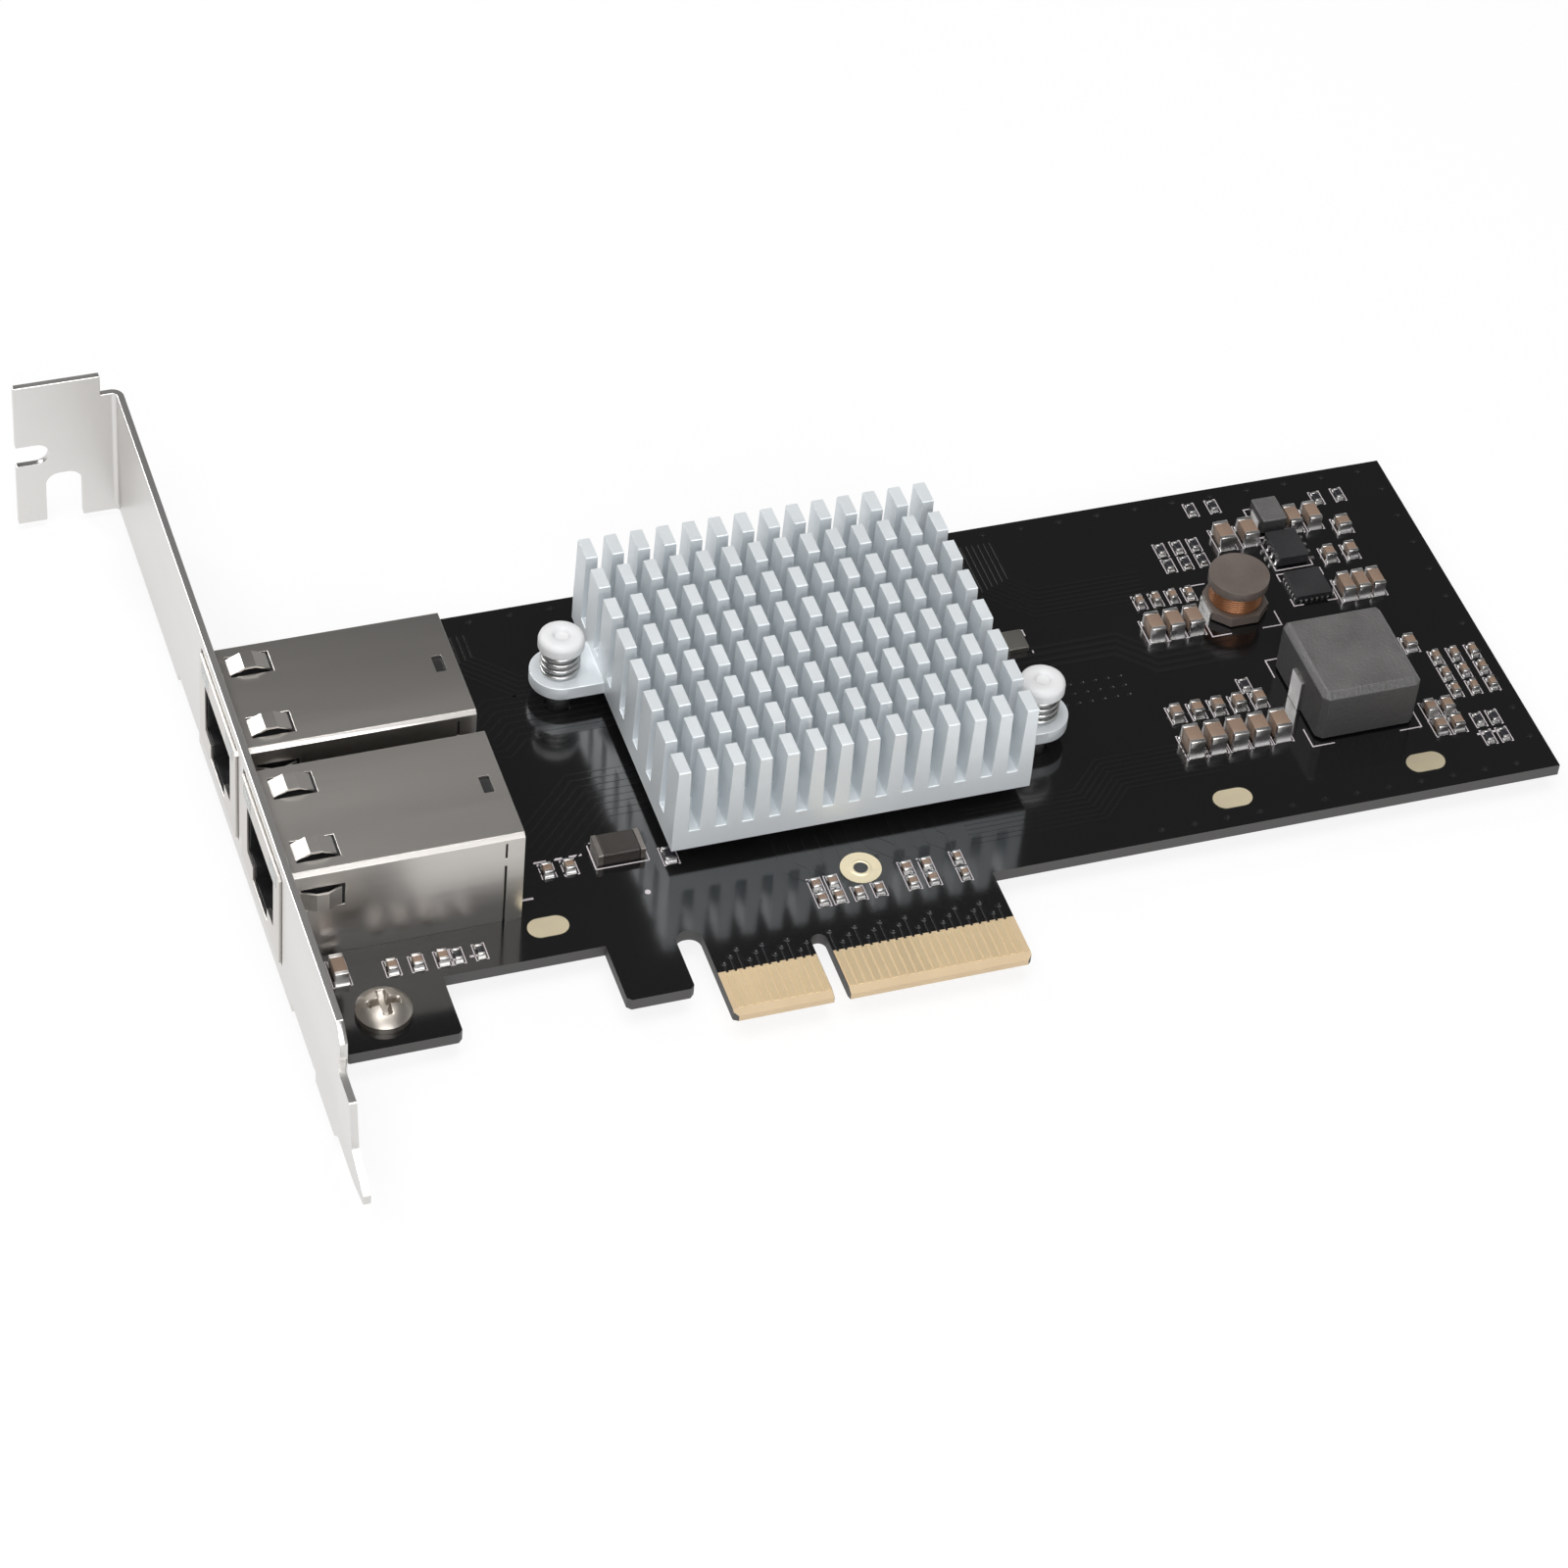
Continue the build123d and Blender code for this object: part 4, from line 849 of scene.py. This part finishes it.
def studio():
    """A grey world, darker above than below."""
    world = bpy.data.worlds.new("studio")
    world.use_nodes = True
    tree = world.node_tree
    tree.nodes.clear()
    link = tree.links.new
    split = add(tree, "SeparateXYZ")
    link(add(tree, "TexCoord").outputs["Generated"], split.inputs[0])
    ramp = add(tree, "ValToRGB")
    stops = ramp.color_ramp.elements
    for stop, (height, grey) in zip(stops, SKY_ENDS):
        stop.position = height
        stop.color = (grey, grey, grey, 1)
    # A new stop moves the later ones on, so it comes when the ends are set
    height, grey = SKY_MIDDLE
    stops.new(height).color = (grey, grey, grey, 1)
    link(split.outputs["Z"], ramp.inputs[0])
    sky = add(tree, "Background", {"Strength": 1.0})
    link(ramp.outputs[0], sky.inputs[0])
    link(sky.outputs[0], add(tree, "OutputWorld").inputs[0])
    return world


floor.data.materials.append(paper())
scene.world = studio()


# Lights

AIM = Vector((0.02, 0.04, 0))


def area(name, place, size, power, colour=(1, 1, 1), aim=AIM):
    """A soft box that looks at a point of the object."""
    data = bpy.data.lights.new(name, "AREA")
    data.shape = "RECTANGLE"
    data.size, data.size_y = size
    data.energy = power
    data.color = colour
    lamp = bpy.data.objects.new(name, data)
    lamp.location = place
    lamp.rotation_euler = (aim - Vector(place)).to_track_quat("-Z", "Y").to_euler()
    scene.collection.objects.link(lamp)


area("overhead", (0.04, 0.06, 0.95), (0.5, 0.5), 4.5, (1.0, 0.985, 0.97))
area("left_rear", (-0.36, 0.64, 0.6), (0.3, 0.3), 2.2, aim=Vector((-0.02, 0.04, 0)))
area("front", (-0.15, -0.66, 0.42), (0.7, 0.4), 3.9, (0.985, 0.99, 1.0))
area("top_fill", (-0.35, -0.2, 0.78), (0.4, 0.4), 2.1)


# Camera, where the photograph was taken from

CAMERA_PLACE = Vector((-0.150740, -0.341508, 0.406197))
CAMERA_RIGHT = Vector((0.94739778, -0.31150112, 0.07351534))
CAMERA_AHEAD = Vector((0.26950513, 0.65252963, -0.70821753))

camera = bpy.data.objects.new("camera", bpy.data.cameras.new("camera"))
scene.collection.objects.link(camera)
scene.camera = camera
camera.data.sensor_fit = "HORIZONTAL"
camera.data.sensor_width = 36
camera.data.lens = 113.974
camera.data.clip_start = 0.01
camera.data.clip_end = 20
turned = Matrix((CAMERA_RIGHT, CAMERA_RIGHT.cross(CAMERA_AHEAD), -CAMERA_AHEAD)).transposed()
camera.matrix_world = Matrix.Translation(CAMERA_PLACE) @ turned.to_4x4()

scene.view_settings.view_transform = "Standard"
